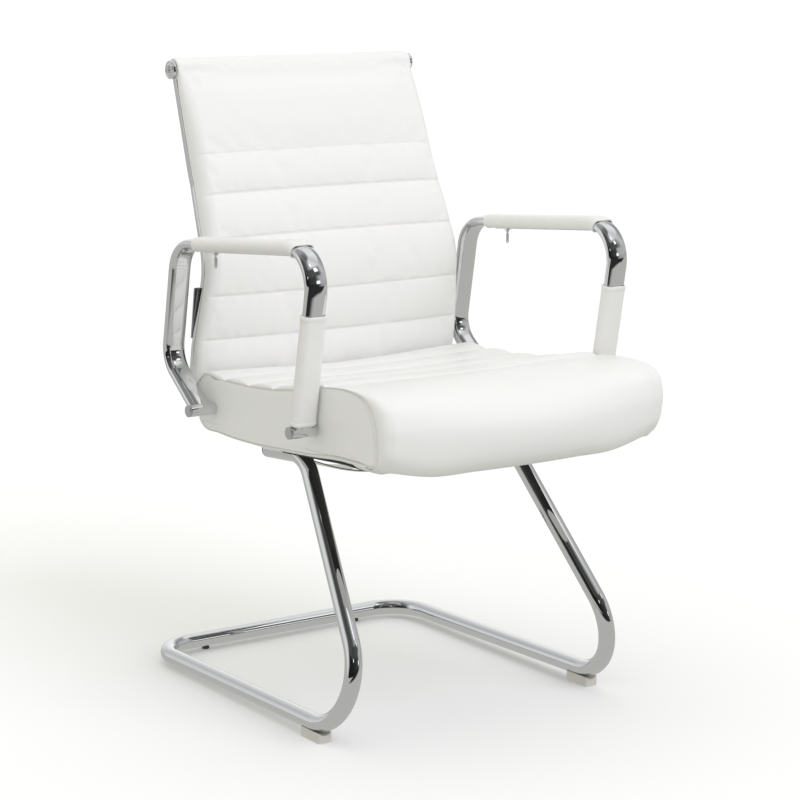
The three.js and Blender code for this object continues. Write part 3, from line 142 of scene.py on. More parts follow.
def bent_line(corners, radii, turn=2.0):
    """Straight runs joined by tangent arcs.
    An arc's point is centre - radius*cos(a)*side + radius*sin(a)*way, for a from 0 to the bend."""
    corners = np.asarray(corners, float)
    spots, ways = [corners[:1]], [unit(corners[1:2] - corners[:1])]
    for before, corner, after, radius in zip(corners[:-2], corners[1:-1], corners[2:], radii):
        way, out = unit(corner - before), unit(after - corner)
        bend = math.acos(float(np.clip(way @ out, -1, 1)))
        side = unit(out - way * (out @ way))
        start = corner - way * radius * math.tan(bend / 2)
        a = np.linspace(0, bend, max(3, math.ceil(math.degrees(bend) / turn)))[:, None]
        centre = start + side * radius
        spots.append(centre - radius * np.cos(a) * side + radius * np.sin(a) * way)
        ways.append(np.cos(a) * way + np.sin(a) * side)
    spots.append(corners[-1:])
    ways.append(unit(corners[-1:] - corners[-2:-1]))
    return np.concatenate(spots), np.concatenate(ways)


def reaches(spots):
    """Distance along a line at each of its points."""
    steps = np.linalg.norm(np.diff(spots, axis=0), axis=1)
    return np.concatenate([[0.0], np.cumsum(steps)])


def at(line, wanted):
    """Spots and ways of a line at the wanted distances, read between its points."""
    spots, ways = line
    reach = reaches(spots)
    spot = np.stack([np.interp(wanted, reach, spots[:, i]) for i in range(3)], -1)
    way = np.stack([np.interp(wanted, reach, ways[:, i]) for i in range(3)], -1)
    return spot, unit(way)


def round_section(radius, steps=40):
    """Circle: radius*(cos a, sin a)."""
    a = np.linspace(0, 2 * np.pi, steps, endpoint=False)
    return radius * np.stack([np.cos(a), np.sin(a)], -1)


def oval_section(width, thickness, steps=18):
    """Flat oval: two half circles of half the thickness, joined by flats."""
    r = thickness / 2
    a = np.linspace(-np.pi / 2, np.pi / 2, steps)
    half = np.stack([width / 2 - r + r * np.cos(a), r * np.sin(a)], -1)
    flat = np.linspace(1, -1, 9)[1:-1, None] * np.array([[width / 2 - r, 0]])
    return np.concatenate([half, flat + (0, r), half * (-1, -1), -flat - (0, r)])


def crowned_section(width, thickness, steps=96):
    """Flat oval whose flats are a little crowned: |2x/width|^2.5 + |2y/thickness|^2.5 = 1."""
    a = np.linspace(0, 2 * np.pi, steps, endpoint=False)
    c, s = np.cos(a), np.sin(a)
    return np.stack([width / 2 * np.sign(c) * np.abs(c) ** 0.8, thickness / 2 * np.sign(s) * np.abs(s) ** 0.8], -1)


def bar_section(width, height, edge, steps=6):
    """Rectangle with quarter circle edges."""
    a = np.linspace(0, np.pi / 2, steps)
    arc = edge * np.stack([np.cos(a), np.sin(a)], -1)
    x, y = width / 2 - edge, height / 2 - edge
    swapped = arc[:, ::-1]
    return np.concatenate([
        arc + (x, y), swapped * (-1, 1) + (-x, y), arc * (-1, -1) + (-x, -y), swapped * (1, -1) + (x, -y),
    ])


def carried(line, section, across):
    """Section carried along a line: spot + x*across' + y*(across' x way),
    where across' is the given direction made square to the way."""
    spots, ways = line
    across = np.broadcast_to(np.asarray(across, float), spots.shape)
    flat = unit(across - ways * (across * ways).sum(1, keepdims=True))
    rise = np.cross(flat, ways)
    x, y = section[..., 0], section[..., 1]
    if section.ndim == 2:
        x, y = x[None, :], y[None, :]
    return spots[:, None] + x[..., None] * flat[:, None] + y[..., None] * rise[:, None]


def turned(profile, centre, axis, steps=48):
    """Profile of (radius, height) turned about an axis: centre + height*axis + radius*(cos a, sin a)."""
    profile = np.asarray(profile, float)
    axis = unit(np.asarray(axis, float))
    first = unit(np.cross(axis, (0.31, 0.52, 0.79)))
    second = np.cross(axis, first)
    a = np.linspace(0, 2 * np.pi, steps, endpoint=False)
    ring = np.cos(a)[:, None] * first + np.sin(a)[:, None] * second
    radius = profile[:, 0][:, None, None]
    return np.asarray(centre, float) + profile[:, 1][:, None, None] * axis + radius * ring


def eased(profile, edges):
    """A profile with its inner corners rounded by the given radii."""
    flat = np.pad(np.asarray(profile, float), ((0, 0), (0, 1)))
    return bent_line(flat, edges, turn=18.0)[0][:, :2]


def curve_weights(knots, wanted, loop=None):
    """Weights that carry values at the knots to the wanted places by cubic Hermite pieces.
    The slope at a knot is the mean of its two neighbours' slopes, weighted by the other's width."""
    n = len(knots)
    values = np.eye(n)
    knots = np.asarray(knots, float)
    if loop is not None:
        knots = np.concatenate([knots[-2:] - loop, knots, knots[:2] + loop])
        values = np.concatenate([values[-2:], values, values[:2]])
    gap = np.diff(knots)
    slope = np.diff(values, axis=0) / gap[:, None]
    inner = (slope[:-1] * gap[1:, None] + slope[1:] * gap[:-1, None]) / (gap[1:] + gap[:-1])[:, None]
    slopes = np.concatenate([slope[:1], inner, slope[-1:]])
    i = np.clip(np.searchsorted(knots, wanted, side="right") - 1, 0, len(knots) - 2)
    h = gap[i]
    t = ((wanted - knots[i]) / h)[:, None]
    h = h[:, None]
    return (
        values[i] * (2 * t**3 - 3 * t**2 + 1)
        + values[i + 1] * (3 * t**2 - 2 * t**3)
        + slopes[i] * h * (t**3 - 2 * t**2 + t)
        + slopes[i + 1] * h * (t**3 - t**2)
    )


def smooth_step(values):
    t = np.clip(values, 0, 1)
    return t * t * (3 - 2 * t)


def grid_normals(grid):
    """Outward or inward unit normals of a grid closed in its second direction, by central differences."""
    along = np.gradient(grid, axis=0)
    around = np.roll(grid, -1, axis=1) - np.roll(grid, 1, axis=1)
    n = np.cross(along, around)
    return n / np.maximum(np.linalg.norm(n, axis=-1, keepdims=True), 1e-12)


# Meshes


def faces_of(rows, columns, around, ends):
    """Quads between neighbours of a grid, and a fan at each end round an added middle point."""
    index = np.arange(rows * columns).reshape(rows, columns)
    nxt = np.roll(index, -1, axis=1)
    if not around:
        index, nxt = index[:, :-1], index[:, 1:]
    quads = np.stack([index[:-1], nxt[:-1], nxt[1:], index[1:]], -1).reshape(-1, 4)
    fans = []
    if ends:
        hub = rows * columns
        low = np.stack([np.full(columns, hub), nxt[0], index[0]], -1)
        high = np.stack([np.full(columns, hub + 1), index[-1], nxt[-1]], -1)
        fans = [low, high]
    return quads, fans


def volume_of(points, quads, fans):
    """Signed volume: sum of a.(b x c)/6 over the triangles."""
    triangles = np.concatenate([quads[:, :3], quads[:, [0, 2, 3]], *fans])
    a, b, c = (points[triangles[:, i]] for i in range(3))
    return float((a * np.cross(b, c)).sum() / 6)


def mesh_of(name, grid, around=True, ends=True):
    rows, columns = grid.shape[:2]
    points = grid.reshape(-1, 3)
    quads, fans = faces_of(rows, columns, around, ends)
    if ends:
        points = np.concatenate([points, [grid[0].mean(0)], [grid[-1].mean(0)]])
    if volume_of(points, quads, fans) < 0:
        quads, fans = quads[:, ::-1], [f[:, ::-1] for f in fans]
    faces = quads.tolist()
    for fan in fans:
        faces += fan.tolist()
    mesh = bpy.data.meshes.new(name)
    mesh.from_pydata(points.tolist(), [], faces)
    return mesh


def placed(name, mesh, look, body="chair", nodes=(), sharp=None):
    """A finished piece: smooth shaded, with its material, riding on a body."""
    mesh.shade_smooth()
    if sharp:
        mesh.set_sharp_from_angle(angle=math.radians(sharp))
    piece = bpy.data.objects.new(name, mesh)
    bpy.context.collection.objects.link(piece)
    piece.data.materials.append(look)
    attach(piece, body)
    if nodes:
        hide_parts(*nodes)
    return piece


def joined(name, meshes):
    """Several meshes as one."""
    points, faces, start = [], [], 0
    for mesh in meshes:
        co = np.empty(len(mesh.vertices) * 3)
        mesh.vertices.foreach_get("co", co)
        points.append(co.reshape(-1, 3))
        faces += [[i + start for i in p.vertices] for p in mesh.polygons]
        start += len(mesh.vertices)
        bpy.data.meshes.remove(mesh)
    whole = bpy.data.meshes.new(name)
    whole.from_pydata(np.concatenate(points).tolist(), [], faces)
    return whole


def mirrored(grid, side):
    return grid * (side, 1.0, 1.0)


# Materials


def material(name):
    m = bpy.data.materials.new(name)
    m.use_nodes = True
    shader = m.node_tree.nodes["Principled BSDF"]
    return m, m.node_tree, shader


def add_node(tree, kind, links=(), **values):
    """A node with its values set and its inputs linked: links is (input, output socket) pairs."""
    node = tree.nodes.new(kind)
    for key, value in values.items():
        if hasattr(node, key):
            setattr(node, key, value)
        else:
            node.inputs[key.replace("_", " ")].default_value = value
    for key, socket in links:
        tree.links.new(node.inputs[key], socket)
    return node


def mixed(tree, factor, low, high):
    """Colour between two given ones by a factor socket."""
    ramp = tree.nodes.new("ShaderNodeValToRGB")
    ramp.color_ramp.elements[0].color = (*low, 1)
    ramp.color_ramp.elements[1].color = (*high, 1)
    tree.links.new(ramp.inputs["Fac"], factor)
    return ramp.outputs["Color"]


def leather_look(name, tint, grain):
    """Coated leather: pebbled grain, faint creases, and slight changes of tone and gloss."""
    m, tree, shader = material(name)
    place = add_node(tree, "ShaderNodeTexCoord").outputs["Object"]
    pebbles = add_node(tree, "ShaderNodeTexVoronoi", [("Vector", place)], feature="SMOOTH_F1", Scale=1 / grain)
    pebbles.inputs["Smoothness"].default_value = 0.6
    fine = add_node(tree, "ShaderNodeTexNoise", [("Vector", place)], Scale=0.6 / grain, Detail=3.0)
    creases = add_node(tree, "ShaderNodeTexNoise", [("Vector", place)], Scale=26.0, Detail=4.0, Distortion=0.4)
    clouds = add_node(tree, "ShaderNodeTexNoise", [("Vector", place)], Scale=5.0, Detail=2.0)
    low = tuple(c * 0.985 for c in tint)
    high = tuple(min(1.0, c * 1.008) for c in tint)
    tree.links.new(shader.inputs["Base Color"], mixed(tree, clouds.outputs["Fac"], low, high))
    rough = add_node(tree, "ShaderNodeMapRange", [("Value", creases.outputs["Fac"])])
    rough.inputs["To Min"].default_value = 0.36
    rough.inputs["To Max"].default_value = 0.46
    tree.links.new(shader.inputs["Roughness"], rough.outputs["Result"])
    bump = None
    for height, strength, depth in (
        (pebbles.outputs["Distance"], 0.10, 0.00012),
        (fine.outputs["Fac"], 0.10, 0.00010),
        (creases.outputs["Fac"], 0.16, 0.0008),
    ):
        links = [("Height", height)] + ([("Normal", bump)] if bump else [])
        bump = add_node(tree, "ShaderNodeBump", links, Strength=strength, Distance=depth).outputs["Normal"]
    tree.links.new(shader.inputs["Normal"], bump)
    shader.inputs["Specular IOR Level"].default_value = 0.45
    shader.inputs["Sheen Weight"].default_value = 0.06
    shader.inputs["Sheen Roughness"].default_value = 0.5
    shader.inputs["Subsurface Weight"].default_value = 0.04
    shader.inputs["Subsurface Scale"].default_value = 0.004
    return m


def chrome_look(name, tint, low, high, ripple=0.02):
    """Plated steel: near mirror, with a polish that changes a little and a very slight ripple."""
    m, tree, shader = material(name)
    place = add_node(tree, "ShaderNodeTexCoord").outputs["Object"]
    haze = add_node(tree, "ShaderNodeTexNoise", [("Vector", place)], Scale=40.0, Detail=5.0)
    rough = add_node(tree, "ShaderNodeMapRange", [("Value", haze.outputs["Fac"])])
    rough.inputs["To Min"].default_value = low
    rough.inputs["To Max"].default_value = high
    tree.links.new(shader.inputs["Roughness"], rough.outputs["Result"])
    waves = add_node(tree, "ShaderNodeTexNoise", [("Vector", place)], Scale=18.0, Detail=1.0)
    bump = add_node(tree, "ShaderNodeBump", [("Height", waves.outputs["Fac"])], Strength=ripple, Distance=0.002)
    tree.links.new(shader.inputs["Normal"], bump.outputs["Normal"])
    dark = tuple(c * 0.97 for c in tint)
    tree.links.new(shader.inputs["Base Color"], mixed(tree, haze.outputs["Fac"], dark, tint))
    shader.inputs["Metallic"].default_value = 1.0
    return m


def plastic_look(name, tint, roughness, speckle=700.0):
    """Moulded plastic: a fine spark-eroded grain and a slight change of tone."""
    m, tree, shader = material(name)
    place = add_node(tree, "ShaderNodeTexCoord").outputs["Object"]
    grain = add_node(tree, "ShaderNodeTexNoise", [("Vector", place)], Scale=speckle, Detail=2.0)
    tone = add_node(tree, "ShaderNodeTexNoise", [("Vector", place)], Scale=30.0, Detail=2.0)
    bump = add_node(tree, "ShaderNodeBump", [("Height", grain.outputs["Fac"])], Strength=0.25, Distance=0.0002)
    tree.links.new(shader.inputs["Normal"], bump.outputs["Normal"])
    low, high = tuple(c * 0.94 for c in tint), tuple(min(1, c * 1.04) for c in tint)
    tree.links.new(shader.inputs["Base Color"], mixed(tree, tone.outputs["Fac"], low, high))
    shader.inputs["Roughness"].default_value = roughness
    return m


def wood_look(name, low, high):
    """Plywood in two given tones: stretched noise for the grain, with finer pores."""
    m, tree, shader = material(name)
    place = add_node(tree, "ShaderNodeTexCoord").outputs["Object"]
    run = add_node(tree, "ShaderNodeMapping", [("Vector", place)])
    run.inputs["Scale"].default_value = (26.0, 2.2, 26.0)
    grain = add_node(tree, "ShaderNodeTexNoise", [("Vector", run.outputs["Vector"])], Scale=4.0, Detail=8.0)
    pores = add_node(tree, "ShaderNodeTexNoise", [("Vector", run.outputs["Vector"])], Scale=40.0, Detail=2.0)
    tree.links.new(shader.inputs["Base Color"], mixed(tree, grain.outputs["Fac"], low, high))
    bump = add_node(tree, "ShaderNodeBump", [("Height", pores.outputs["Fac"])], Strength=0.3, Distance=0.0004)
    tree.links.new(shader.inputs["Normal"], bump.outputs["Normal"])
    shader.inputs["Roughness"].default_value = 0.62
    return m


def woven_look(name, tint, pitch):
    """Woven tape: two crossed waves of bump at the thread pitch, with painted shade that darkens the colour where the
    weave sinks.
    """
    m, tree, shader = material(name)
    place = add_node(tree, "ShaderNodeTexCoord").outputs["Object"]
    threads = [
        add_node(tree, "ShaderNodeTexWave", [("Vector", place)], bands_direction=way, Scale=0.16 / pitch)
        for way in ("X", "Y")
    ]
    both = add_node(tree, "ShaderNodeMath", operation="MAXIMUM")
    for i, wave in enumerate(threads):
        tree.links.new(both.inputs[i], wave.outputs["Fac"])
    bump = add_node(tree, "ShaderNodeBump", [("Height", both.outputs[0])], Strength=0.6, Distance=0.0002)
    tree.links.new(shader.inputs["Normal"], bump.outputs["Normal"])
    # Painted shade: the colour falls to three quarters of the tint where the weave's height is low, in its hollows.
    dark = tuple(c * 0.75 for c in tint)
    tree.links.new(shader.inputs["Base Color"], mixed(tree, both.outputs[0], dark, tint))
    shader.inputs["Roughness"].default_value = 0.8
    return m


def looks():
    """The chair's materials by name, made once."""
    if not looks.made:
        c = bpy.context.scene.chair_colours
        looks.made = {
            "seat": leather_look("seat leather", tuple(c.leather), c.grain),
            "back": leather_look("back leather", tuple(c.leather), c.grain),
            "sleeve": leather_look("sleeve leather", tuple(c.sleeve), c.grain * 0.8),
            "thread": woven_look("thread", tuple(c.thread), 0.0004),
            "chrome": chrome_look("chrome", tuple(c.chrome), 0.02, 0.05),
            "dark": chrome_look("dark chrome", tuple(x * 0.62 for x in c.chrome), 0.12, 0.2),
            "cap": chrome_look("satin cap", (0.55, 0.56, 0.58), 0.28, 0.36),
            "zinc": chrome_look("zinc plate", (0.62, 0.63, 0.65), 0.26, 0.42, 0.1),
            "cast": chrome_look("cast metal", (0.88, 0.88, 0.88), 0.35, 0.5, 0.1),
            "painted": plastic_look("black powder coat", (0.02, 0.02, 0.022), 0.5, 900.0),
            "foot": plastic_look("pale plastic", tuple(c.foot), 0.5),
            "plastic": plastic_look("dark plastic", tuple(c.dark_plastic), 0.5),
            # The seat board's plywood is coloured near black, far darker than bare plywood.
            "ply": wood_look("near black plywood", (0.012, 0.011, 0.010), (0.03, 0.027, 0.024)),
            "tape": woven_look("zip tape", (0.72, 0.71, 0.68), 0.0006),
            "lining": woven_look("black lining", (0.016, 0.016, 0.017), 0.0010),
        }
    return looks.made


looks.made = None


def finish_nodes(look, *names):
    """Gives kept nodes their material."""
    for name in names:
        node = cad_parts[name]
        node.data.materials.clear()
        node.data.materials.append(looks()[look])


# Filling and sewing


def outward(grid):
    """Normals of a closed grid, pointing away from the middle of its middle ring."""
    normal = grid_normals(grid)
    i = len(grid) // 2
    return normal if (normal[i] * (grid[i] - grid[i].mean(0))).sum() > 0 else -normal


def spread(values, times):
    """Values eased over a grid, closed round its second direction: the mean of each with its neighbours."""
    for _ in range(times):
        tall = np.pad(values, ((1, 1), (0, 0)), mode="edge")
        values = (tall[:-2] + 2 * values + tall[2:] + np.roll(values, 1, 1) + np.roll(values, -1, 1)) / 6
    return values


def inflated(name, grid, held, pressure, cap, start, frames=20):
    """The filling's push on a cover: cloth with inner pressure, pinned where held is 1.
    It starts drawn in by the given depth where it is free, and moves no further than the cap.
    Gives the movement of each point of the grid."""
    rows, columns = grid.shape[:2]
    drawn = grid - outward(grid) * (start * spread(1 - held, 3))[..., None]
    mesh = mesh_of(name, drawn)
    cover = bpy.data.objects.new(name, mesh)
    bpy.context.collection.objects.link(cover)
    group = cover.vertex_groups.new(name="held")
    weights = np.concatenate([held.ravel(), [1.0, 1.0]]).round(1)
    for level in np.unique(weights):
        group.add(np.nonzero(weights == level)[0].tolist(), float(level), "REPLACE")
    cloth = cover.modifiers.new("cloth", "CLOTH")
    s = cloth.settings
    s.quality = 6
    s.mass = 0.3
    s.tension_stiffness = s.compression_stiffness = 40.0
    s.shear_stiffness = 20.0
    s.bending_stiffness = 4.0
    s.air_damping = 4.0
    s.use_pressure = True
    s.uniform_pressure_force = pressure
    s.shrink_min = -0.003
    s.vertex_group_mass = "held"
    s.effector_weights.gravity = 0.0
    cloth.collision_settings.use_collision = False
    cloth.collision_settings.use_self_collision = False
    cloth.point_cache.frame_start, cloth.point_cache.frame_end = 1, frames
    scene = bpy.context.scene
    for number in range(1, frames + 1):
        scene.frame_set(number)
    evaluated = cover.evaluated_get(bpy.context.evaluated_depsgraph_get())
    co = np.empty(len(evaluated.data.vertices) * 3)
    evaluated.data.vertices.foreach_get("co", co)
    scene.frame_set(1)
    moved = co.reshape(-1, 3)[: rows * columns].reshape(grid.shape) - drawn
    bpy.data.objects.remove(cover)
    bpy.data.meshes.remove(mesh)
    reach = np.linalg.norm(moved, axis=-1, keepdims=True)
    moved = moved * np.minimum(1.0, cap / np.maximum(reach, 1e-9))
    print(name, "moved at most", round(float(reach.max()) * 1000, 1), "mm, mean", round(float(reach.mean()) * 1000, 2))
    return moved + drawn - grid


def stitches(spots, normals, size, gap, thread):
    """A row of stitches on a line: each a short spindle lying along it, its ends sunk in the cover.
    Point of a spindle: middle + along*way*half + thread/2*(cos a*side + sin a*normal)*bulge(along)."""
    reach = reaches(spots)
    pitch = size + gap
    middles = np.arange(pitch, reach[-1] - pitch, pitch)
    spot = np.stack([np.interp(middles, reach, spots[:, i]) for i in range(3)], -1)
    ahead = np.stack([np.interp(middles + size / 2, reach, spots[:, i]) for i in range(3)], -1)
    normal = unit(np.stack([np.interp(middles, reach, normals[:, i]) for i in range(3)], -1))
    way = unit(ahead - spot)
    side = np.cross(way, normal)
    along = np.array([-1, -0.55, 0.55, 1.0])
    bulge = np.array([0.35, 1.0, 1.0, 0.35])
    sink = np.array([0.45, 0.0, 0.0, 0.45])
    a = np.arange(6) * np.pi / 3
    point = (
        spot[:, None, None]
        + (along * size / 2)[None, :, None, None] * way[:, None, None]
        - (sink * thread)[None, :, None, None] * normal[:, None, None]
        + (thread / 2 * bulge[:, None] * np.cos(a))[None, :, :, None] * side[:, None, None]
        + (thread / 2 * bulge[:, None] * np.sin(a))[None, :, :, None] * normal[:, None, None]
    )
    number = len(middles)
    quads, _ = faces_of(4, 6, True, False)
    base = np.arange(number)[:, None, None] * 24
    quads = (quads[None] + base).reshape(-1, 4)
    cap_low = (np.arange(6)[::-1][None] + base[:, :, 0]).tolist()
    cap_high = (18 + np.arange(6)[None] + base[:, :, 0]).tolist()
    return point.reshape(-1, 3), quads, cap_low + cap_high


def stitch_mesh(name, rows):
    """One mesh from several rows of stitches, with every face pointing out."""
    points, faces, start = [], [], 0
    for p, quads, caps in rows:
        a, b, c, d = (p[quads[:, i]] for i in range(4))
        middle = p.reshape(-1, 24, 3).mean(1).repeat(18, 0)
        out = (np.cross(c - a, d - b) * (a + c - 2 * middle)).sum(1)
        flip = out.sum() < 0
        quads = quads[:, ::-1] if flip else quads
        caps = [f[::-1] for f in caps] if flip else caps
        points.append(p)
        faces += (quads + start).tolist() + [[i + start for i in f] for f in caps]
        start += len(p)
    mesh = bpy.data.meshes.new(name)
    mesh.from_pydata(np.concatenate(points).tolist(), [], faces)
    return mesh


# Lines of the chair, in millimetres


def sled_line():
    half = [(182.8, 250, 379.9), (178.6, 155.5, 386), (243, -127, 26), (239.5, 518.5, 16.7)]
    corners = np.array(half + [(-x, y, z) for x, y, z in reversed(half)])
    return bent_line(row(corners), np.array([60, 83, 68, 68, 83, 60]) * MM)


def rail_line():
    corners = [(0, 4, 449.4), (0, 395, 434.3), (0, 362.3, 641.4), (0, 422, 775), (0, 471.4, 931.5)]
    slope = (452.5 - 438.5) / (28 - 310)
    corners[0] = (0, 4, 438.5 + slope * (4 - 310))
    return bent_line(row(corners), np.array([45, 100, 300]) * MM)


def rail_across(height):
    """Half distance between the rails' middles at a height, in metres."""
    return np.interp(height / MM, [520, 760, 931.5], [233, 211, 209]) * MM


def arm_line():
    corners = [(264.5, 310, 438.5), (264.5, 395, 503), (264.5, 361, 682), (264.5, -21.5, 714), (264.5, 28, 452.5)]
    return bent_line(row(corners), np.array([45, 50, 52]) * MM)


def arm_marks():
    """Distances along the arm where its three bends start and end."""
    spots = row([(0, 310, 438.5), (0, 395, 503), (0, 361, 682), (0, -21.5, 714), (0, 28, 452.5)])
    marks, gone = [], 0.0
    for before, corner, after, radius in zip(spots, spots[1:], spots[2:], (0.045, 0.05, 0.052)):
        way, out = unit(corner - before), unit(after - corner)
        bend = math.acos(float(way @ out))
        setback = radius * math.tan(bend / 2)
        leg = np.linalg.norm(corner - before) - setback
        start = (gone if not marks else marks[-1][1] - marks[-1][2]) + leg
        marks.append((start, start + radius * bend, setback))
    return marks


# Operators


class ChairStage(bpy.types.Operator):
    """Makes the pale floor, the soft lights and the camera at the photograph's angle"""

    bl_idname = "chair.stage"
    bl_label = "Stage"

    def execute(self, context):
        scene = context.scene
        scene.view_settings.view_transform = "Standard"
        scene.view_settings.look = "None"
        lens = bpy.data.cameras.new("camera")
        lens.sensor_width = 36.0
        lens.lens = 111.594
        lens.clip_start, lens.clip_end = 0.05, 200.0
        camera = bpy.data.objects.new("camera", lens)
        context.collection.objects.link(camera)
        turn, lift = math.radians(-34.373), math.radians(10.685)
        back = Vector((math.sin(turn) * math.cos(lift), -math.cos(turn) * math.cos(lift), math.sin(lift)))
        camera.location = (-2.06443, -3.02327, 1.13623)
        camera.rotation_mode = "QUATERNION"
        camera.rotation_quaternion = (-back).to_track_quat("-Z", "Y")
        scene.camera = camera
        self.floor(context)
        self.lights(context)
        self.surroundings(scene)
        return {"FINISHED"}

    def floor(self, context):
        across = np.linspace(-1, 1, 9)
        grid = np.stack(np.broadcast_arrays(across[:, None] * 90, across[None] * 90, 0.0), -1)
        quads, _ = faces_of(9, 9, False, False)
        mesh = bpy.data.meshes.new("floor")
        mesh.from_pydata(grid.reshape(-1, 3).tolist(), [], quads[:, ::-1].tolist())
        ground = bpy.data.objects.new("floor", mesh)
        m, tree, shader = material("studio floor")
        shader.inputs["Base Color"].default_value = (*context.scene.chair_colours.floor, 1)
        shader.inputs["Roughness"].default_value = 0.9
        shader.inputs["Specular IOR Level"].default_value = 0.0
        # Painted light on the floor: every ray but a camera ray sees the floor glow. It is light grey as a painted
        # bounce of light, and near black for glossy rays on the floor well in front of the chair, as a painted dark
        # reflection.
        rays = add_node(tree, "ShaderNodeLightPath")
        place = add_node(tree, "ShaderNodeTexCoord").outputs["Object"]
        ahead = self.rising(tree, place, (-0.5646, -0.8254, 0.0), 0.9, 1.4)
        beside = self.rising(tree, place, (0.8254, -0.5646, 0.0), -1.0, -0.5)
        far = add_node(tree, "ShaderNodeMath", operation="MULTIPLY")
        for i, share in enumerate((ahead, beside)):
            tree.links.new(far.inputs[i], share)
        painted_dark_reflection_share = add_node(tree, "ShaderNodeMath", operation="MULTIPLY")
        tree.links.new(painted_dark_reflection_share.inputs[0], far.outputs[0])
        tree.links.new(painted_dark_reflection_share.inputs[1], rays.outputs["Is Glossy Ray"])
        tone = mixed(tree, painted_dark_reflection_share.outputs[0], (0.56, 0.56, 0.53), (0.03, 0.03, 0.03))
        # The painted glow: the floor emits this grey as if it were a lamp.
        painted_glow = add_node(tree, "ShaderNodeEmission", [("Color", tone)], Strength=1.0)
        seen = add_node(tree, "ShaderNodeMixShader", [("Fac", rays.outputs["Is Camera Ray"])])
        tree.links.new(seen.inputs[1], painted_glow.outputs[0])
        tree.links.new(seen.inputs[2], shader.outputs[0])
        tree.links.new(tree.nodes["Material Output"].inputs["Surface"], seen.outputs[0])
        mesh.materials.append(m)
        context.collection.objects.link(ground)

    def lights(self, context):
        """A wide soft sun from the front and a weaker one from the left."""
        for name, way, power, spread in (
            ("key sun", (-0.15, 0.75, -0.62), 0.84, 40.0),
            ("fill sun", (0.60, 0.45, -1.0), 0.12, 70.0),
        ):
            lamp = bpy.data.lights.new(name, "SUN")
            lamp.energy = power
            lamp.color = (0.98, 0.99, 1.16)
            lamp.angle = math.radians(spread)
            sun = bpy.data.objects.new(name, lamp)
            sun.rotation_mode = "QUATERNION"
            sun.rotation_quaternion = Vector(way).to_track_quat("-Z", "Y")
            sun.visible_glossy = False
            context.collection.objects.link(sun)

    def surroundings(self, scene):
        """A pale studio: an even glow, and for gloss the tones seen round the chair at four heights,
        with small lamps between them. A turn of 0 degrees is straight behind the chair."""
        world = bpy.data.worlds.new("studio")
        scene.world = world
        world.use_nodes = True
        tree = world.node_tree
        even = tree.nodes["Background"]
        even.inputs["Color"].default_value = (1.0, 1.0, 0.94, 1)
        even.inputs["Strength"].default_value = 0.88
        way = add_node(tree, "ShaderNodeTexCoord").outputs["Generated"]
        toward, right, up = (0.5646, 0.8254, 0.0), (0.8254, -0.5646, 0.0), (0.0, 0.0, 1.0)
        turn = add_node(tree, "ShaderNodeMath", operation="ARCTAN2")
        tree.links.new(turn.inputs[0], self.along(tree, way, right))
        tree.links.new(turn.inputs[1], self.along(tree, way, toward))
        room = None
        for low, high, stops in (
            (0, 0, ((-180, 0.015), (-124, 0.015), (-112, 0.80), (-60, 0.85), (-44, 0.60), (-10, 1.0), (14, 1.1),
                    (30, 0.45), (94, 0.45), (106, 0.40), (114, 0.03), (180, 0.015))),
            (0.09, 0.14, ((-180, 0.02), (-140, 0.01), (-127, 0.10), (-112, 0.88), (-80, 0.85), (-40, 0.62), (-8, 1.0),
                          (10, 1.1), (30, 0.30), (60, 0.60), (108, 0.50), (116, 0.06), (180, 0.02))),
            (0.36, 0.46, ((-180, 0.06), (-141, 0.10), (-126, 0.12), (-116, 0.50), (-105, 0.95), (-90, 0.70), (-60, 0.55),
                          (-34, 0.70), (0, 1.0), (30, 0.35), (60, 0.45), (84, 0.70), (95, 0.40), (104, 0.10),
                          (128, 0.09), (180, 0.06))),
            (0.66, 0.72, ((-180, 0.10), (-135, 0.06), (-115, 0.30), (-90, 0.50), (-34, 0.70), (20, 0.90), (50, 1.0),
                          (80, 0.70), (104, 0.95), (124, 0.50), (147, 0.30), (165, 0.12), (180, 0.10))),
            (0.88, 0.94, ((-180, 0.20), (-100, 0.35), (0, 0.45), (100, 0.15), (180, 0.20))),
        ):
            band = self.tones(tree, turn.outputs[0], stops)
            room = band if room is None else self.blend(tree, self.rising(tree, way, up, low, high), room, band)
        for aim, wide, tall in (
            ((117, 53), 0.07, 0.09), ((106, 38), 0.08, 0.08), ((113, 10), 0.07, 0.06), ((179, 23), 0.06, 0.05),
        ):
            lamp = add_node(tree, "ShaderNodeRGB")
            lamp.outputs[0].default_value = (1.5, 1.5, 1.5, 1)
            room = self.blend(tree, self.window(tree, way, aim, wide, tall), room, lamp.outputs[0])
        gloss = add_node(tree, "ShaderNodeBackground", [("Color", room)], Strength=1.0)
        rays = add_node(tree, "ShaderNodeLightPath")
        chosen = add_node(tree, "ShaderNodeMixShader", [("Fac", rays.outputs["Is Glossy Ray"])])
        tree.links.new(chosen.inputs[1], even.outputs[0])
        tree.links.new(chosen.inputs[2], gloss.outputs[0])
        plain = add_node(tree, "ShaderNodeBackground", Strength=1.0)
        plain.inputs["Color"].default_value = (1.0, 1.0, 1.0, 1)
        seen = add_node(tree, "ShaderNodeMixShader", [("Fac", rays.outputs["Is Camera Ray"])])
        tree.links.new(seen.inputs[1], chosen.outputs[0])
        tree.links.new(seen.inputs[2], plain.outputs[0])
        tree.links.new(tree.nodes["World Output"].inputs["Surface"], seen.outputs[0])

    def along(self, tree, way, axis):
        dot = add_node(tree, "ShaderNodeVectorMath", operation="DOT_PRODUCT")
        tree.links.new(dot.inputs[0], way)
        dot.inputs[1].default_value = axis
        return dot.outputs["Value"]

    def rising(self, tree, way, axis, low, high):
        """Share that goes from 0 to 1 as a direction's part along the axis goes from low to high."""
        share = add_node(tree, "ShaderNodeMapRange", [("Value", self.along(tree, way, axis))],
                         interpolation_type="SMOOTHSTEP")
        share.inputs["From Min"].default_value = low
        share.inputs["From Max"].default_value = high
        return share.outputs["Result"]

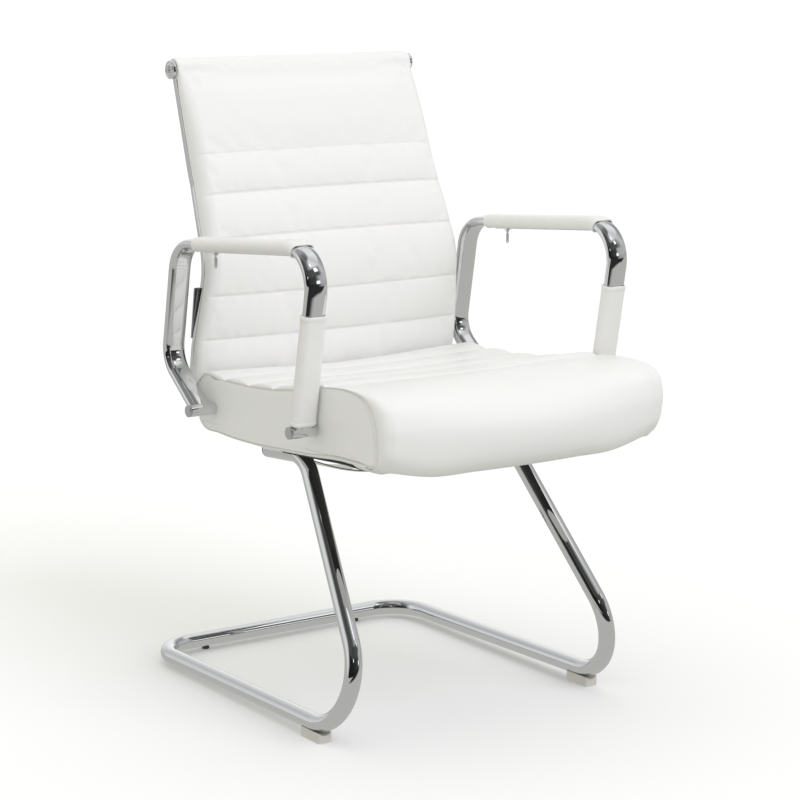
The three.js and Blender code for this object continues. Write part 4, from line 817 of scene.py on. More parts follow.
    def tones(self, tree, turn, stops):
        """Greys by the turn round the chair, each stop in degrees."""
        share = add_node(tree, "ShaderNodeMapRange", [("Value", turn)])
        share.inputs["From Min"].default_value = -math.pi
        share.inputs["From Max"].default_value = math.pi
        ramp = add_node(tree, "ShaderNodeValToRGB", [("Fac", share.outputs["Result"])])
        marks = ramp.color_ramp.elements
        for i, (degrees, tone) in enumerate(stops):
            spot = (degrees + 180) / 360
            mark = marks[0] if i == 0 else marks[-1] if i == len(stops) - 1 else marks.new(spot)
            mark.position = spot
            mark.color = (tone, tone, tone, 1)
        return ramp.outputs["Color"]

    def blend(self, tree, share, first, second):
        mix = add_node(tree, "ShaderNodeMix", data_type="RGBA")
        tree.links.new(mix.inputs[0], share)
        tree.links.new(mix.inputs[6], first)
        tree.links.new(mix.inputs[7], second)
        return mix.outputs[2]

    def window(self, tree, way, aim, wide, tall):
        """Share that is 1 inside a rectangle about a turn and a lift: the direction's parts along
        the rectangle's two edges are both under its half sizes, and the part along its aim is over 0."""
        turn, lift = (math.radians(a) for a in aim)
        flat = math.cos(turn) * np.array((0.5646, 0.8254, 0)) + math.sin(turn) * np.array((0.8254, -0.5646, 0))
        aim = math.cos(lift) * flat + math.sin(lift) * np.array((0, 0, 1.0))
        across = unit(np.cross(aim, (0, 0, 1)))
        share = self.rising(tree, way, tuple(float(c) for c in aim), 0.0, 0.2)
        for axis, size in ((across, wide), (np.cross(across, aim), tall)):
            apart = add_node(tree, "ShaderNodeMath", operation="ABSOLUTE")
            tree.links.new(apart.inputs[0], self.along(tree, way, tuple(float(c) for c in axis)))
            inside = add_node(tree, "ShaderNodeMapRange", [("Value", apart.outputs[0])], interpolation_type="SMOOTHSTEP")
            inside.inputs["From Min"].default_value = size
            inside.inputs["From Max"].default_value = size * 0.8
            both = add_node(tree, "ShaderNodeMath", operation="MULTIPLY")
            tree.links.new(both.inputs[0], share)
            tree.links.new(both.inputs[1], inside.outputs["Result"])
            share = both.outputs[0]
        return share


class ChairBase(bpy.types.Operator):
    """Makes the bent sled tube with its open ends and the bowed plate welded between its runs"""

    bl_idname = "chair.sled_base"
    bl_label = "Sled base"

    def execute(self, context):
        sizes = context.scene.chair_metal
        line = sled_line()
        spots, ways = line
        inner = sizes.base_tube / 2 - sizes.base_wall
        outer = sizes.base_tube / 2
        depth = 0.02
        first = np.stack([spots[0] + ways[0] * depth, spots[0], spots[0]])
        last = np.stack([spots[-1], spots[-1], spots[-1] - ways[-1] * depth])
        whole = np.concatenate([first, spots[1:-1], last])
        whole_ways = np.concatenate([np.repeat(ways[:1], 3, 0), ways[1:-1], np.repeat(ways[-1:], 3, 0)])
        radius = np.full(len(whole), outer)
        radius[[0, 1, -2, -1]] = inner
        section = round_section(1.0, 56)[None] * radius[:, None, None]
        grid = carried((whole, whole_ways), section, unit(np.array((1.0, 0.15, 1.0))))
        placed("sled_tube", mesh_of("sled_tube", grid), looks()["chrome"], nodes=["sled_frame"], sharp=50)
        self.bow_plate(sizes)
        finish_nodes("plastic", "tube_plug_left", "tube_plug_right", "rear_glide_left", "rear_glide_right")
        finish_nodes("foot", "front_foot_left", "front_foot_right")
        return {"FINISHED"}

    def bow_plate(self, sizes):
        pitch = math.atan2(379.9 - 386, 250 - 155.5)
        y = 10 + 80 / 2
        corners = [(-169.6, y, -8.4), (-86, y, -40.5), (86, y, -40.5), (169.6, y, -8.4)]
        spots, ways = bent_line(np.array(corners) * MM, [0.305, 0.305], turn=1.0)
        turn = np.array([[1, 0, 0], [0, math.cos(pitch), -math.sin(pitch)], [0, math.sin(pitch), math.cos(pitch)]])
        start = row([0, 155.5, 386])
        line = (spots @ turn.T + start, ways @ turn.T)
        grid = carried(line, bar_section(0.080, sizes.plate, 0.0012), turn @ np.array((0, 1.0, 0)))
        placed("bowed_plate", mesh_of("bowed_plate", grid), looks()["chrome"], nodes=["bow_plate"], sharp=40)


class ChairUnderSeat(bpy.types.Operator):
    """Finishes the seat board, the stretchers and the bolts and nuts that hold the seat"""

    bl_idname = "chair.under_seat"
    bl_label = "Board and bolts"

    def execute(self, context):
        finish_nodes("ply", "seat_board")
        finish_nodes("painted", "seat_stretcher_front", "seat_stretcher_rear")
        for place in ("front", "rear"):
            for side, _ in SIDES:
                finish_nodes("zinc", f"frame_bolt_{place}_{side}", f"frame_nut_{place}_{side}")
        return {"FINISHED"}


class ChairRails(bpy.types.Operator):
    """Makes the side rails, the end discs with their screws and the bowed lumbar plate"""

    bl_idname = "chair.rails"
    bl_label = "Rails and plates"

    def execute(self, context):
        sizes = context.scene.chair_metal
        self.rails(sizes)
        self.discs(sizes)
        self.lumbar(sizes)
        finish_nodes("chrome", "top_tube")
        return {"FINISHED"}

    def rails(self, sizes):
        line = rail_line()
        reach = reaches(line[0])
        wanted = np.unique(np.concatenate([reach, np.linspace(0, reach[-1], 160)]))
        spots, ways = at(line, wanted)
        section = bar_section(sizes.rail_thickness, sizes.rail_depth, sizes.rail_edge)
        bar = carried((spots, ways), section, (1.0, 0, 0))
        bar[..., 0] += rail_across(bar[..., 2])
        eye = row([0, 471.4, 931.5])
        half = sizes.rail_thickness / 2
        profile = eased([(0.0005, -half), (0.012, -half), (0.012, half), (0.0005, half)], [0.0012, 0.0012])
        for side, s in SIDES:
            ring = turned(profile, eye + (0.209, 0, 0), (1.0, 0, 0))
            mesh = joined(f"rail_{side}", [mesh_of("bar", mirrored(bar, s)), mesh_of("eye", mirrored(ring, s))])
            placed(f"rail_{side}", mesh, looks()["chrome"], nodes=[f"side_rail_{side}"], sharp=40)

    def discs(self, sizes):
        centre = row([213.3, 471.4, 931.5])
        r = sizes.disc / 2
        t = 0.0057
        profile = eased(
            [(0.0046, t - 0.0026), (0.0049, t), (0.0097, t), (0.0104, t - 0.0007), (0.0113, t), (r, t), (r, 0), (0.003, 0)],
            [0.0001, 0.0002, 0.0003, 0.0003, 0.0009, 0.0006],
        )
        for side, s in SIDES:
            grid = mirrored(turned(profile, centre, (1.0, 0, 0)), s)
            placed(f"disc_{side}", mesh_of(f"disc_{side}", grid), looks()["chrome"],
                   nodes=[f"end_disc_{side}"], sharp=35)
            grid = mirrored(socket_head(centre + (t - 0.0026, 0, 0), (1.0, 0, 0), 0.0042, 0.0026, 0.003, 0.0016), s)
            placed(f"disc_screw_head_{side}", mesh_of(f"disc_screw_head_{side}", grid), looks()["zinc"],
                   nodes=[f"disc_screw_{side}"], sharp=35)

    def lumbar(self, sizes):
        low = row([0, 395 - (532 - 434.3) * (395 - 362.3) / (641.4 - 434.3), 532])
        up = unit(row([0, 362.3, 641.4]) - row([0, 395, 434.3]))
        rear = np.array([0, up[2], -up[1]])
        tall = 0.078 / up[2]
        end, shoulder = 0.2359, 0.197
        flange = end - 0.023
        corners = [(end, 0), (flange, 0), (shoulder, 0.022), (shoulder / 2, 0.0415)]
        corners = corners + [(-x, d) for x, d in reversed(corners)]
        flat = np.array([(x, 0.0083 + d, tall / 2) for x, d in corners])
        spots, ways = bent_line(flat, [0.014, 0.028, 0.208, 0.208, 0.028, 0.014], turn=2.0)
        axes = np.array([(1.0, 0, 0), rear, up])
        line = (spots @ axes + low, ways @ axes)
        grid = carried(line, bar_section(tall, sizes.plate, 0.0012), up)
        placed("lumbar_bow", mesh_of("lumbar_bow", grid), looks()["dark"],
               nodes=["lumbar_plate"], sharp=40)
        for place, rise in (("low", 0.016), ("high", tall - 0.016)):
            spot = low + up * rise
            spot[0] = rail_across(spot[2])
            seat = spot + rear * 0.0101
            for side, s in SIDES:
                grid = mirrored(socket_head(seat, rear, 0.004, 0.0028, 0.003, 0.0016), s)
                name = f"lumbar_head_{place}_{side}"
                placed(name, mesh_of(name, grid), looks()["zinc"],
                       nodes=[f"lumbar_screw_{place}_{side}"], sharp=35)


def socket_head(seat, axis, radius, height, key, depth):
    """Screw head with a six-sided socket: in the socket the radius is apothem/cos of the
    angle from the middle of its side."""
    outer = eased([(radius, 0), (radius, height), (key * 0.62, height)], [height * 0.35])
    steps = 60
    head = turned(np.concatenate([[(radius * 0.5, 0)], outer]), seat, axis, steps)
    a = np.linspace(0, 2 * np.pi, steps, endpoint=False)
    six = key / 2 / np.cos((a + np.pi / 6) % (np.pi / 3) - np.pi / 6)
    axis = unit(np.asarray(axis, float))
    first = unit(np.cross(axis, (0.31, 0.52, 0.79)))
    second = np.cross(axis, first)
    ring = six[:, None] * (np.cos(a)[:, None] * first + np.sin(a)[:, None] * second)
    well = np.stack([seat + axis * h + ring for h in (height, height - depth)])
    return np.concatenate([head, well])


class ChairArms(bpy.types.Operator):
    """Makes the flat oval arm tubes with their cross pegs and end caps"""

    bl_idname = "chair.arms"
    bl_label = "Arm frames"

    def execute(self, context):
        sizes = context.scene.chair_metal
        line = arm_line()
        section = crowned_section(sizes.arm_width, sizes.arm_thickness)
        reach = reaches(line[0])
        wanted = np.unique(np.concatenate([reach, np.linspace(0, reach[-1], 120)]))
        tube = carried(at(line, wanted), section, (1.0, 0, 0))
        r = sizes.peg / 2
        inner, face, cap = 0.2373, 0.2848, 0.288
        peg = eased([(0.0048, 0), (r, 0), (r, face - inner), (0.0067, face - inner)], [0.0006, 0.0005])
        button = eased([(0.006, 0), (r, 0), (r, cap - face - 0.0004), (0.0005, cap - face - 0.0004)], [0.0003, 0.0010])
        for side, s in SIDES:
            meshes = [mesh_of("tube", mirrored(tube, s))]
            for y, z in ((310, 438.5), (28, 452.5)):
                centre = row([0, y, z])
                meshes.append(mesh_of("peg", mirrored(turned(peg, centre + (inner, 0, 0), (1.0, 0, 0)), s)))
            placed(f"arm_tube_{side}", joined(f"arm_tube_{side}", meshes), looks()["chrome"],
                   nodes=[f"arm_frame_{side}"], sharp=40)
            for place, y, z in (("rear", 310, 438.5), ("front", 28, 452.5)):
                centre = row([0, y, z]) + (face + 0.0004, 0, 0)
                grid = mirrored(turned(button, centre, (1.0, 0, 0)), s)
                name = f"peg_cap_{place}_{side}"
                placed(name, mesh_of(name, grid), looks()["cap"],
                       nodes=[f"arm_cap_{place}_{side}"], sharp=40)
                finish_nodes("zinc", f"arm_bolt_{place}_{side}")
        return {"FINISHED"}


class ChairSleeves(bpy.types.Operator):
    """Makes the sewn leather sleeves on the arms, with their hems and the zips under the arm rests"""

    bl_idname = "chair.sleeves"
    bl_label = "Arm sleeves and zips"

    def execute(self, context):
        sizes = context.scene.chair_metal
        seat = context.scene.chair_seat
        marks = arm_marks()
        line = arm_line()
        total = reaches(line[0])[-1]
        spans = {
            "top": (marks[1][1] + 0.024, marks[2][0] + 0.022),
            "front": (marks[2][1] + 0.027, total - sizes.peg / 2 - 0.001),
        }
        for name, (start, stop) in spans.items():
            grid, hems = self.sleeve(line, sizes, start, stop)
            for side, s in SIDES:
                mesh = mesh_of(f"{name}_cover_{side}", mirrored(grid, s), ends=False)
                placed(f"{name}_cover_{side}", mesh, looks()["sleeve"],
                       nodes=[f"{name}_sleeve_{side}"])
                rows = [
                    stitches(np.concatenate([p, p[:1]]) * (s, 1, 1), np.concatenate([n, n[:1]]) * (s, 1, 1),
                             seat.stitch * 0.8, seat.stitch_gap, seat.thread * 0.7)
                    for p, n in hems
                ]
                placed(f"{name}_hem_thread_{side}", stitch_mesh("hem thread", rows), looks()["thread"])
        for side, _ in SIDES:
            finish_nodes("tape", f"zip_chain_{side}")
            finish_nodes("cast", f"zip_slider_{side}", f"zip_pull_{side}")
        return {"FINISHED"}

    def sleeve(self, line, sizes, start, stop):
        """Closed skin: out along the outer face, over each rolled hem and back inside.
        The wall swells by a fold at either hem and by a few slack ripples between them."""
        gap, wall, hem = 0.0004, 0.0017, 0.0007
        steps = 150
        along = np.linspace(start, stop, steps)
        near = np.minimum(along - start, stop - along)
        fold = hem * smooth_step((0.0062 - near) / 0.0012)
        round_off = np.sqrt(np.clip(near / 0.0012, 0, 1))
        section = oval_section(1.0, 1.0)
        outline = oval_section(sizes.arm_width, sizes.arm_thickness)
        out = unit(self.outward(outline))
        phase = np.linspace(0, 2 * np.pi, len(outline), endpoint=False)[None]
        ripple = 0.00015 * np.sin(along[:, None] * 210 + 1.7 * np.sin(phase)) * np.sin(2 * phase + along[:, None] * 37)
        thick = gap + (wall * (0.55 + 0.45 * round_off) + fold)[:, None] + ripple * smooth_step(near / 0.02)[:, None]
        outer = outline[None] + thick[..., None] * out[None]
        inner = np.broadcast_to(outline + (gap * 0.5) * out, (2, *outline.shape))
        spots, ways = at(line, np.concatenate([[start], along, [stop]]))
        sections = np.concatenate([inner[:1], outer, inner[1:]])
        grid = carried((spots, ways), sections, (1.0, 0, 0))
        normals = grid_normals(grid)
        if (normals[steps // 2] * (grid[steps // 2] - spots[steps // 2])).sum() < 0:
            normals = -normals
        hems = []
        for distance in (0.0075, stop - start - 0.0075):
            i = 1 + int(np.argmin(np.abs(along - start - distance)))
            hems.append((grid[i], normals[i]))
        return grid, hems

    def outward(self, outline):
        ahead = np.roll(outline, -1, axis=0) - np.roll(outline, 1, axis=0)
        return np.stack([ahead[:, 1], -ahead[:, 0]], -1)


class ChairSeat(bpy.types.Operator):
    """Makes the seat cushion: welted side panels, ribbed top and a full front roll"""

    bl_idname = "chair.seat"
    bl_label = "Seat cushion"

    half = 243.6
    front, rear, low, top = -127.0, 359.0, 403.0, 521.0
    first_seam, pitch, ribs = 5.0, 69.0, 5
    roll_front, roll_low = -174.0, 404.0
    roll_side_front, roll_side_low = -149.0, 417.0
    bulge = 8.0
    dish = 4.0
    # Smoothing passes across the seat, so that the filling's push leaves few waves along a rib
    across_passes = 24
    # Shares of the seat's depth and height from the lower rear corner along the underside
    # and over the nose to the first seam
    side_shares = np.array([
        (0.994, 0.085), (0.971, 0.02), (0.879, 0), (0.673, 0), (0.512, 0.042), (0.331, 0.102), (0.2, 0.169),
        (0.076, 0.182), (0.008, 0.178), (0, 0.356), (0.004, 0.517), (0.016, 0.686), (0.035, 0.814),
        (0.066, 0.924), (0.117, 0.983), (0.179, 0.996), (0.228, 0.985),
    ])
    roll_side_shares = np.array([
        (0.79, 0), (0.9, 0.125), (0.972, 0.3), (0.995, 0.5), (1, 0.64), (0.965, 0.84), (0.87, 0.955),
        (0.68, 1), (0.42, 1.01), (0.17, 0.985),
    ])
    roll_middle_shares = np.array([
        (0.69, 0.05), (0.86, 0), (0.955, 0.16), (1, 0.4), (0.985, 0.64), (0.905, 0.83), (0.76, 0.94),
        (0.53, 1), (0.3, 1.005), (0.12, 0.98),
    ])
    seam_shares = np.array([0.965, 0.846, 0.76, 0.715, 0.7, 0.655])
    rear_shares = np.array([0.59, 0.5, 0.3])

    def execute(self, context):
        sizes = context.scene.chair_seat
        knots, rings = self.control_rings()
        coarse = self.surface(knots, rings, *self.params(knots, 10, 9, 0.5))
        moved = np.zeros_like(coarse["grid"])
        moved = inflated("seat cover", coarse["grid"], coarse["held"], 4.0, sizes.swell, 0.0016)
        for _ in range(self.across_passes):
            level = moved.copy()
            level[1:-1] = (moved[:-2] + 2 * moved[1:-1] + moved[2:]) / 4
            moved = level * (1 - coarse["held"])[..., None] + moved * coarse["held"][..., None]
        fine = self.surface(knots, rings, *self.params(knots, 30, 30, 1.0))
        push = np.einsum("ai,ijk,bj->abk", self.rows_between(coarse, fine), moved, self.columns_between(coarse, fine))
        grid = fine["grid"] + push
        grid = self.sewn(grid, fine, sizes)
        mesh = mesh_of("seat_cover", grid)
        piece = placed("seat_cover", mesh, looks()["seat"], nodes=["seat_cushion"])
        self.thread(grid, fine, sizes)
        self.lining(grid, fine)
        return {"FINISHED"}

    def lining(self, grid, fine):
        """Black cloth under the seat: the underside's grid moved out by two depths and closed round."""
        normal = outward(grid)
        rear, middle, front = fine["lining"]
        meshes = []
        for start, stop, reach in ((rear, middle, 2.9), (middle, front, 5.35)):
            wide = np.nonzero(np.abs(fine["across"] - 10) < reach)[0]
            deep = np.nonzero((fine["places"] > start) & (fine["places"] < stop))[0]
            part = np.ix_(wide, deep)
            low, high = (grid[part] + normal[part] * depth for depth in (0.0008, 0.0002))
            meshes.append(mesh_of("lining", np.concatenate([low, high[:, ::-1]], axis=1)))
        placed("seat_lining", joined("seat_lining", meshes), looks()["lining"], sharp=40)

    def outline_knots(self):
        """Side panel, roll beside the welt and middle of the seat: 26 points each, (y, z)."""
        depth, height = self.rear - self.front, self.top - self.low
        side = np.stack([self.front + depth * self.side_shares[:, 0], self.low + height * self.side_shares[:, 1]], -1)
        seams = self.first_seam + self.pitch * np.arange(self.ribs + 1)
        seam_z = self.low + height * self.seam_shares
        rear = np.stack([np.full(3, self.rear), self.low + height * self.rear_shares], -1)
        top = np.concatenate([np.stack([seams, seam_z], -1), rear])

        def roll(shares, front, low):
            under = side[: len(side) - len(shares)].copy()
            pitch = math.atan2(379.9 - 386, 250 - 155.5)
            lowest = 386 + (under[:, 0] - 155.5) * math.tan(pitch) + 14.0 / math.cos(pitch)
            under[2:, 1] = np.minimum(lowest, under[:, 1])[2:]
            nose = np.stack([self.first_seam - (self.first_seam - front) * shares[:, 0],
                             low + (self.top - low) * shares[:, 1]], -1)
            return np.concatenate([under, nose])

        beside = roll(self.roll_side_shares, self.roll_side_front, self.roll_side_low)
        middle = roll(self.roll_middle_shares, self.roll_front, self.roll_low)
        return side, beside, middle, top

    def control_rings(self):
        """Rings of 26 points from the left side panel's middle to the right one's. Between welt and
        middle a ring mixes the two roll outlines: forward by (1+cos(pi s))/2, downward by sin."""
        side, beside, middle, top = self.outline_knots()
        edge = np.concatenate([side, top])
        first = len(side) - len(self.roll_side_shares)
        i = np.arange(len(edge))
        spot = (i - first + 0.5) / (len(side) - first)
        weight = np.sqrt(np.abs(np.sin(np.pi * np.clip(spot, 0, 1)))) * np.where(spot > 0.7, (1 - spot) / 0.3, 1)
        weight = np.where((i >= first) & (i < len(side)), weight, 0)
        centre = edge.mean(0) + (0, -3)
        rings = []
        for k, x in ((0.02, 242.6), (0.5, 242.9), (0.82, 242.7), (0.94, 242.2)):
            rings.append(np.column_stack([np.full(len(edge), x), centre + (edge - centre) * k]))
        rings.append(np.column_stack([np.full(len(edge), self.half - 0.6), edge + (centre - edge) * 0.012]))
        for s in (0.985, 0.955, 0.88, 0.68, 0.36, 0.0):
            forward = (1 + math.cos(math.pi * s)) / 2
            down = math.sin(math.pi / 2 * min(1, (1 - s) * 2.5))
            nose = np.stack([
                beside[:, 0] + (middle[:, 0] - beside[:, 0]) * forward,
                beside[:, 1] + (middle[:, 1] - beside[:, 1]) * down,
            ], -1)
            if s > 0.96:
                nose = edge[: len(side)] * 0.55 + nose * 0.45
            rear_flush, front_flush = {0.985: (0.1, 0.5), 0.955: (0.3, 1.0), 0.88: (0.7, 1.0)}.get(s, (1.0, 1.0))
            flush = np.interp(np.arange(7), [2, 4], [rear_flush, front_flush])[:, None]
            nose[:7] = side[:7] + (middle[:7] - side[:7]) * flush
            flat = top.copy()
            flat[: self.ribs + 1, 1] -= self.dish * forward
            x = s * self.half + self.bulge * max(0, (s - 0.8) / 0.155 if s < 0.96 else 0.75) * weight
            rings.append(np.column_stack([x, np.concatenate([nose, flat])]))
        rings = np.array(rings)
        other = rings[:-1][::-1] * (-1, 1, 1)
        whole = np.concatenate([rings, other])
        steps = np.linalg.norm(np.diff(edge, axis=0, append=edge[:1]), axis=1)
        knots = np.concatenate([[0], np.cumsum(steps)])
        return knots, whole

    def params(self, knots, per_rib, per_side, denser):
        """Places round the outline, thick at the seams, and across, thick at the welts."""
        count = len(knots) - 1
        first = len(self.side_shares)
        places, seam = [], []
        for i in range(count):
            gap = knots[i + 1] - knots[i]
            if first <= i < first + self.ribs:
                s = np.arange(per_rib) / per_rib
                s = s - np.sin(4 * np.pi * s) * 0.0 - 0.09 * np.sin(2 * np.pi * s)
            else:
                number = max(2, int(round(gap / (5.0 / denser / 0.9))))
                s = np.arange(number) / number
            places.append(knots[i] + gap * s)
        return np.concatenate(places), per_side

    def across(self, per_side):
        """Places across in ring numbers, from 0 to 20."""
        marks = [0, 1, 2, 3, 4, 5, 6, 7, 8, 9, 10]
        share = np.array([3, 3, 2, 2.2, 1.6, 1.6, 3, 6, 9, 9.5]) / 30 * per_side
        half = np.concatenate([a + np.arange(max(1, round(n))) / max(1, round(n)) for a, n in zip(marks, share)])
        return np.concatenate([half, [10.0], 20 - half[::-1]])

    def surface(self, knots, rings, places, per_side):
        loop = knots[-1]
        across = self.across(per_side)
        whole = np.concatenate([[0], np.cumsum(np.maximum(np.abs(np.diff(rings[:, :, 0], axis=0)).mean(1), 3.0))])
        wanted = np.interp(across, np.arange(len(rings)), whole)
        around = curve_weights(knots[:-1], places, loop)
        over = curve_weights(whole, wanted)
        grid = np.einsum("ai,jik,bj->bak", around, rings, over)
        grid = row(grid)
        first = knots[len(self.side_shares)]
        last = knots[len(self.side_shares) + self.ribs]
        phase = (places - first) / (last - first) * self.ribs
        near = np.abs(phase - np.round(phase)) * self.pitch
        ribbed = (phase > -0.02) & (phase < self.ribs + 0.02)
        top = smooth_step((across - 4.2) / 0.8) * smooth_step((15.8 - across) / 0.8)
        held = np.zeros((len(across), len(places)))
        held[:, ribbed & (near < 2.5)] = 1
        welt = (np.abs(across - 4) < 0.6) | (np.abs(across - 16) < 0.6)
        held[welt] = 1
        under = (places > knots[0]) & (places < knots[8])
        held[:, under] = np.maximum(held[:, under], 1)
        held[(across < 4) | (across > 16)] = 1
        return dict(grid=grid, held=held, places=places, across=across, phase=phase, ribbed=ribbed, top=top,
                    loop=loop, under=under, lining=(knots[1] + 6, knots[4] - 2, knots[7] - 28))

    def rows_between(self, coarse, fine):
        return curve_weights(coarse["across"], fine["across"])

    def columns_between(self, coarse, fine):
        return curve_weights(coarse["places"], fine["places"], coarse["loop"])

    def sewn(self, grid, fine, sizes):
        """Ribs and seams pressed into the cover along its normal. A rib rises as
        (1-|2f-1|^3.2), f its fraction, and a seam sinks as exp(-(distance/width)^2)."""
        normal = outward(grid)
        f = fine["phase"] % 1
        inside = (fine["phase"] > 0) & (fine["phase"] < self.ribs)
        rib = np.where(inside, 1 - np.abs(2 * f - 1) ** 3.2, 0) * sizes.rib_depth
        near = np.abs(fine["phase"] - np.round(fine["phase"])) * self.pitch * MM
        seam = np.where(fine["ribbed"], np.exp(-(near / sizes.seam_width) ** 2), 0) * sizes.groove
        top = fine["top"][:, None]
        push = (rib - seam)[None] * top
        ring = np.minimum(np.abs(fine["across"] - 4), np.abs(fine["across"] - 16))
        push = push - 2.2 * sizes.groove * np.exp(-(ring / 0.3) ** 2)[:, None]
        return grid + normal * push[..., None]

    def thread(self, grid, fine, sizes):
        """Two rows along each welt over the front roll, and one beside each cross seam."""
        normal = outward(grid)
        rows = []
        shown = np.nonzero(~fine["under"])[0]
        for spot in (3.55, 4.5, 15.5, 16.45):
            i = int(np.argmin(np.abs(fine["across"] - spot)))
            rows.append(stitches(grid[i, shown], normal[i, shown], sizes.stitch, sizes.stitch_gap, sizes.thread))
        inner = np.nonzero(np.abs(fine["across"] - 10) < 5.2)[0]
        for number in range(self.ribs):
            j = int(np.argmin(np.abs(fine["phase"] - number - 0.035)))
            rows.append(stitches(grid[inner, j], normal[inner, j], sizes.stitch, sizes.stitch_gap, sizes.thread * 0.8))
        placed("seat_thread", stitch_mesh("seat_thread", rows), looks()["thread"])


class ChairBack(bpy.types.Operator):
    """Makes the ribbed back pad, rolled round the top tube"""

    bl_idname = "chair.back"
    bl_label = "Back cushion"

    start, first_seam, pitch, ribs = 25.0, 103.0, 69.0, 4
    cover, roll = 4.0, 17.6

    def execute(self, context):
        sizes = context.scene.chair_back
        corners = [(0, 395, 434.3), (0, 362.3, 641.4), (0, 422, 775), (0, 471.4, 931.5)]
        self.line = bent_line(np.array(corners), [100.0, 300.0], turn=1.0)
        self.total = reaches(self.line[0])[-1]
        coarse = self.surface(sizes, *self.params(8, 46))
        moved = np.zeros_like(coarse["grid"])
        moved = inflated("back cover", coarse["grid"], coarse["held"], 4.0, sizes.swell, 0.0012)
        fine = self.surface(sizes, *self.params(34, 190))
        push = np.einsum("ai,ijk,bj->abk", curve_weights(coarse["across"], fine["across"]), moved,
                         curve_weights(coarse["places"], fine["places"], coarse["loop"]))
        grid = self.sewn(fine["grid"] + push, fine, sizes)
        piece = placed("back_cover", self.side_walls("back_cover", grid, fine["opposite"]), looks()["back"],
                       nodes=["back_cushion"])
        self.thread(grid, fine, context.scene.chair_seat)
        return {"FINISHED"}

    def thickness(self, reach):
        """Pad in front of the rails: full at the lumbar bend, thin at the foot and the roll."""
        share_of = reach / self.total
        marks = np.array([0, 0.1, 0.21, 0.32, 0.42, 0.54, 0.652, 0.74, 0.826, 0.913, 1.0])
        thick = np.array([23, 24.1, 27, 29.8, 31.6, 36.6, 40.5, 39.3, 35.2, 27.8, 17.6])
        return curve_weights(marks, share_of) @ thick

    def params(self, per_rib, columns):
        """Places round the pad: the reach up the front, the turn over the roll, the same reaches
        down the rear and the turn under the foot, so that every place has its opposite."""
        seams = self.first_seam + self.pitch * np.arange(self.ribs + 1)
        front = [np.linspace(self.start, seams[0], per_rib + 1)[:-1]]
        for low in seams[:-1]:
            s = np.arange(per_rib) / per_rib
            front.append(low + self.pitch * (s - 0.09 * np.sin(2 * np.pi * s)))
        front.append(np.linspace(seams[-1], self.total, per_rib * 2))
        front = np.concatenate(front)
        over = np.linspace(0, np.pi, 2 * (per_rib // 2) + 3)[1:-1]
        under = np.linspace(0, np.pi, 2 * (per_rib // 4) + 3)[1:-1]
        a = np.linspace(-1, 1, columns)
        across = np.sign(a) * (1 - (1 - np.abs(a)) ** 1.6)
        return front, over, under, across

    def surface(self, sizes, front, over, under, across):
        """Point: line(reach) + forward*depth + way*rise. The front face's edge falls over a quarter
        ellipse, the rear one lies on the rails, and between them the side is a flat wall."""
        n, turns, foot = len(front), len(over), len(under)
        zone = np.repeat([0, 1, 2, 3], [n, turns, n, foot])
        reach = np.concatenate([front, np.full(turns, self.total), front[::-1], np.full(foot, self.start)])
        turn = np.concatenate([np.zeros(n), over, np.zeros(n), under])
        steps = np.concatenate([front, self.total + self.roll * over,
                                2 * self.total + self.roll * np.pi - front[::-1],
                                2 * self.total + self.roll * np.pi - self.start + 12 * under])
        loop = 2 * self.total + self.roll * np.pi - self.start + 12 * np.pi - self.start
        spots, ways = self.line
        spot, way = at((spots, ways), reach)
        forward = np.stack([np.zeros(len(way)), -way[:, 2], way[:, 1]], -1)
        rail = np.interp(spot[:, 2], [520, 760, 931.5], [233, 211, 209])
        low = 1 - np.minimum(1, reach / self.total * 2)
        half = rail + 4.4 + 1.6 * low - 0.9 * smooth_step((reach - self.total + 40) / 30)
        x = half[None] * across[:, None]
        inward = half[None] - np.abs(x)

        def quarter(radius):
            return np.sqrt(np.clip(1 - (np.clip(radius - inward, 0, radius) / radius) ** 2, 0, 1))

        thick = self.thickness(reach)[None]
        crown = np.interp(np.abs(across), [0, 0.3, 0.6, 0.85, 1], [1, 0.92, 0.66, 0.25, 0])[:, None]
        face = thick + sizes.crown / MM * crown * np.clip((self.total - reach) / 60, 0, 1)[None]
        bar = 6.9
        middle = bar + (thick - bar) * 0.25
        face = middle + (face - middle) * quarter(16.0)
        rear = bar + 1.2 * (1 - quarter(1.2)) - (self.cover + bar) * smooth_step((inward - 10.5) / 2.0)
        radius = self.roll - 2.5 * (1 - quarter(2.5))
        inner = smooth_step((inward - 9) / 6)
        to_roll = smooth_step((reach[None] - self.total + 17 + 29 * inner) / (9 + 37 * inner))
        face = face + (radius - face) * to_roll
        rear = rear - (radius + rear) * to_roll
        middle = (face + rear) / 2
        swing = (face - rear) / 2
        zone = zone[None]
        depth = np.choose(zone, [face, radius * np.cos(turn), rear, middle - swing * np.cos(turn)])
        rise = np.choose(zone, [0 * face, radius * np.sin(turn), 0 * face, -0.6 * swing * np.sin(turn)])
        grid = spot[None] + forward[None] * depth[..., None] + way[None] * rise[..., None]
        grid[..., 0] = x
        zone = zone[0]
        phase = np.where(zone == 0, (reach - self.first_seam) / self.pitch, -9)
        near = np.abs(phase - np.round(phase)) * self.pitch
        seam = (zone == 0) & (phase > -0.02) & (phase < self.ribs + 0.02)
        held = np.zeros(grid.shape[:2])
        held[:, seam & (near < 3)] = 1
        held[:, zone > 0] = 1
        held[np.abs(across) > 0.955] = 1
        return dict(grid=row(grid), held=held, places=steps, across=across, phase=phase, seam=seam, loop=loop,
                    front=zone == 0, opposite=2 * n + turns - 1, reach=reach)

